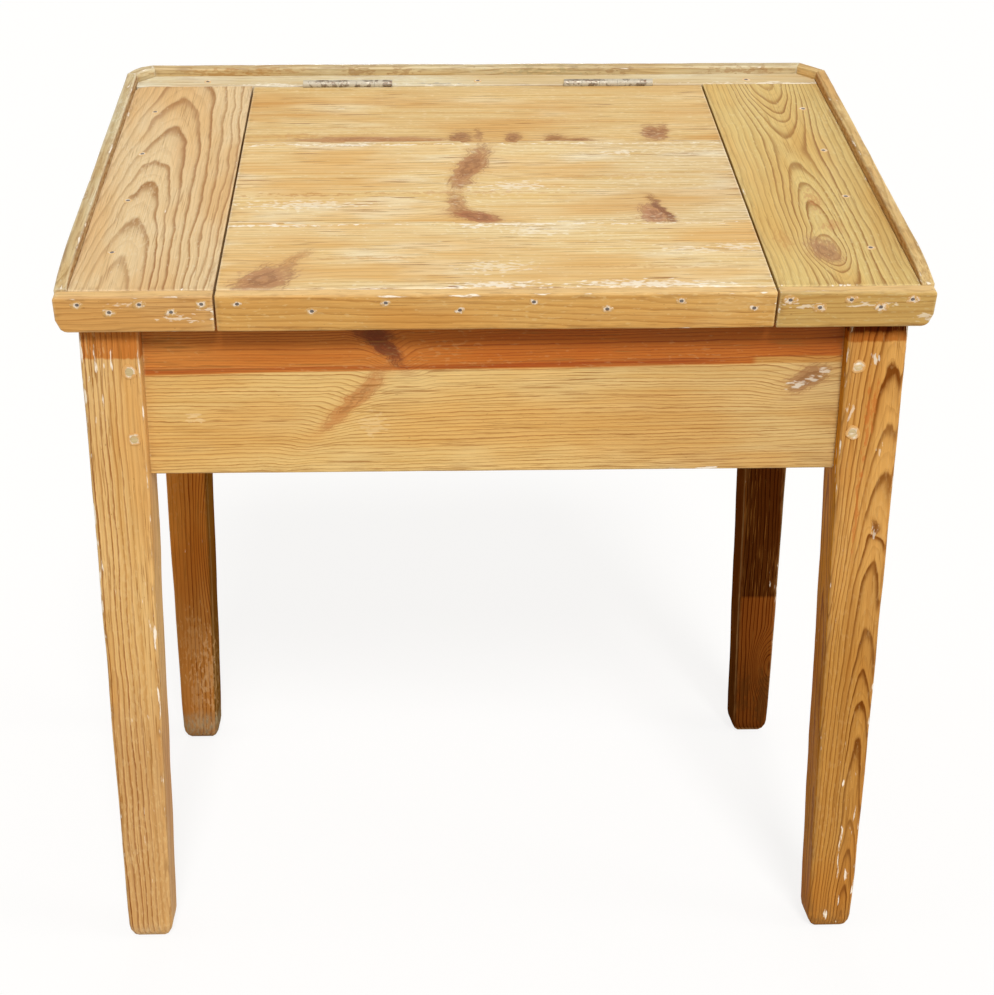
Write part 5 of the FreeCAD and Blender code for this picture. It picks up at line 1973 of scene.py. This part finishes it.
@dataclass
class Ironwork:
    """Hinges, screws and nails. Sizes are in millimetres.

    Attributes:
        top_head: Radius of the heads in the top boards.
        front_rim, lid_rim, top_rim, lip_rim, plank_rim: Radius of the filler round each row of nails.
        smear: How much longer than wide the filler on the front edge is.
    """

    top_head: float = 2.0
    front_rim: float = 4.6
    lid_rim: float = 3.8
    top_rim: float = 4.6
    lip_rim: float = 3.2
    plank_rim: float = 2.6
    smear: float = 1.6

    def build(self) -> None:
        """Dress the hinges and make the nail heads."""
        hinge = IronFinish("hinge_iron_painted").material()
        screw = IronFinish("screw_steel_dulled", metal="#6E6A60", coat_share=0.15).material()
        nail = IronFinish("nail_iron_rusted", metal="#77706A", coat_share=-0.4).material()
        edge = FillerFinish("edge_filler", "#C59A58", cover=0.66, soft=0.3).material()
        top = FillerFinish("top_filler", "#D8B47C", cover=0.6, soft=0.3).material()
        for side in SIDES:
            for part in ("hinge_rail_leaf", "hinge_lid_leaf", "hinge_pin"):
                dress(f"{side}_{part}", hinge)
        for node in ("hinge_rail_screws", "hinge_lid_screws", "batten_screws"):
            dress(node, screw)
        front = {"placing": SITE.slope, "axis": 1, "stretch": self.smear, "outward": -1}
        upper = {"head": self.top_head, "rim": self.top_rim, "outward": 1}
        rows = (
            (Heads("front_lipping_nails", rim=self.front_rim, **front), "front_nail", edge),
            (Heads("lid_lipping_nails", rim=self.lid_rim, **front), "lid_nail", edge),
            (Heads("top_board_nails", SITE.slope, 2, **upper), "top_nail", top),
            (Heads("edge_lip_nails", SITE.slope, -1, rim=self.lip_rim), "lip_nail", top),
            (Heads("plank_nails", SITE.upright, 2, rim=self.plank_rim, outward=1), "plank_nail", nail),
        )
        for heads, name, filler in rows:
            heads.build(name, nail, filler, Slot.NAIL)
        dress("ledger_nails", nail)


@dataclass(frozen=True)
class Sun:
    """A soft, even light.

    Attributes:
        name: Name of the lamp.
        turn: Degrees to the right of straight ahead that it comes from.
        height: Degrees above the floor that it comes from.
        spread: Apparent width in degrees, which softens its shadows.
        strength: Strength in watts per square metre.
    """

    name: str
    turn: float
    height: float
    spread: float
    strength: float

    def build(self) -> None:
        """Make the lamp and turn it to the desk."""
        light = bpy.data.lights.new(self.name, "SUN")
        light.energy = self.strength
        light.angle = math.radians(self.spread)
        lamp = bpy.data.objects.new(self.name, light)
        bpy.context.scene.collection.objects.link(lamp)
        lamp.rotation_euler = (math.radians(90 - self.height), 0.0, math.radians(self.turn))
        lamp.location = (0.0, 0.0, 3.0)


@dataclass
class Studio:
    """White floor and backdrop under an even sky, with a high sun in front and weaker ones elsewhere.

    Attributes:
        floor_half: Half the floor's side in metres.
        floor_shade: Share of the floor that takes shadows instead of glowing.
        sky: Strength of the even light.
        suns: The lamps.
    """

    floor_half: float = 30.0
    floor_shade: float = 0.18
    sky: float = 0.42
    suns: tuple[Sun, ...] = (
        Sun("key", 6.0, 38.0, 16.0, 2.4),
        Sun("side", 74.0, 12.0, 30.0, 1.1),
        Sun("back", 180.0, 9.0, 10.0, 0.9),
        Sun("left", -82.0, 10.0, 30.0, 0.4),
    )

    def build(self) -> None:
        """Make the floor, the sky and the lamps."""
        self._floor()
        self._sky()
        for sun in self.suns:
            sun.build()

    def _floor(self) -> None:
        """Make a floor that is white to the camera, keeps a soft shadow and sends little light back up."""
        half = self.floor_half
        ends = [(-half, -half, 0.0), (half, -half, 0.0), (half, half, 0.0), (-half, half, 0.0)]
        mesh = bpy.data.meshes.new("floor")
        mesh.from_pydata(ends, [], [(0, 1, 2, 3)])
        floor = bpy.data.objects.new("floor", mesh)
        bpy.context.scene.collection.objects.link(floor)
        g = Graph(bpy.data.materials.new("floor_white"))
        dull = g.put("BsdfDiffuse", {"Color": linear("#C9BFAE")})
        lit = g.put("BsdfDiffuse", {"Color": WHITE})
        glow = g.put("Emission", {"Color": WHITE, "Strength": 1.0})
        white = g.put("MixShader", [self.floor_shade, glow, lit])
        g.put("OutputMaterial", [g.put("MixShader", [self._seen(g), dull, white])])
        mesh.materials.append(g.owner)

    def _sky(self) -> None:
        """Light the scene evenly, white where the camera looks past the object."""
        g = Graph(bpy.data.worlds.new("studio"))
        even = g.put("Background", {"Color": linear("#FFF2DC"), "Strength": self.sky})
        white = g.put("Background", {"Color": WHITE, "Strength": 1.0})
        g.put("OutputWorld", [g.put("MixShader", [self._seen(g), even, white])])
        bpy.context.scene.world = g.owner

    def _seen(self, g: Graph) -> Socket:
        """Tell whether a ray ends in the picture: straight from the camera, mirrored or through glass.

        Args:
            g: Graph to add to.

        Returns:
            One for such a ray, nought for light that only bounces.
        """
        camera = g.put("LightPath", [], out="Is Camera Ray")
        glossy = camera.node.outputs["Is Glossy Ray"]
        through = camera.node.outputs["Is Transmission Ray"]
        shown = g.put("Math", [camera, glossy], operation="MAXIMUM")
        return g.put("Math", [shown, through], operation="MAXIMUM")


@dataclass
class DeskCamera:
    """The photo's view: just left of the middle, looking down on the slope.

    Attributes:
        place: Where the camera stands, in metres.
        yaw, pitch, roll: How it is turned to the right, down and about its own axis, in degrees.
        lens, sensor: Focal length and width of the sensor, in millimetres.
        shift: Shift of the picture, in widths of it.
    """

    place: Triple = (-0.0718, -1.7596, 1.0172)
    yaw: float = 1.271
    pitch: float = 21.496
    roll: float = -0.125
    lens: float = 61.18
    sensor: float = 36.0
    shift: tuple[float, float] = (0.0427, 0.0700)

    def build(self) -> None:
        """Make the camera and let the scene use it."""
        data = bpy.data.cameras.new("photo_view")
        data.lens = self.lens
        data.sensor_width = self.sensor
        data.shift_x, data.shift_y = self.shift
        camera = bpy.data.objects.new("photo_view", data)
        bpy.context.scene.collection.objects.link(camera)
        turn = Euler((math.radians(90 - self.pitch), 0.0, -math.radians(self.yaw))).to_matrix()
        tilt = Matrix.Rotation(math.radians(self.roll), 3, "Z")
        camera.matrix_world = Matrix.Translation(self.place) @ (turn @ tilt).to_4x4()
        bpy.context.scene.camera = camera


def main() -> None:
    """Build the looks in order."""
    logging.basicConfig(level=logging.INFO, format="%(message)s")
    bpy.context.scene.view_settings.view_transform = "Standard"
    for part in (LegFrame(), Compartment(), FixedTop(), LiftLid(), Ironwork(), Studio(), DeskCamera()):
        part.build()


if __name__ == "__main__":
    main()
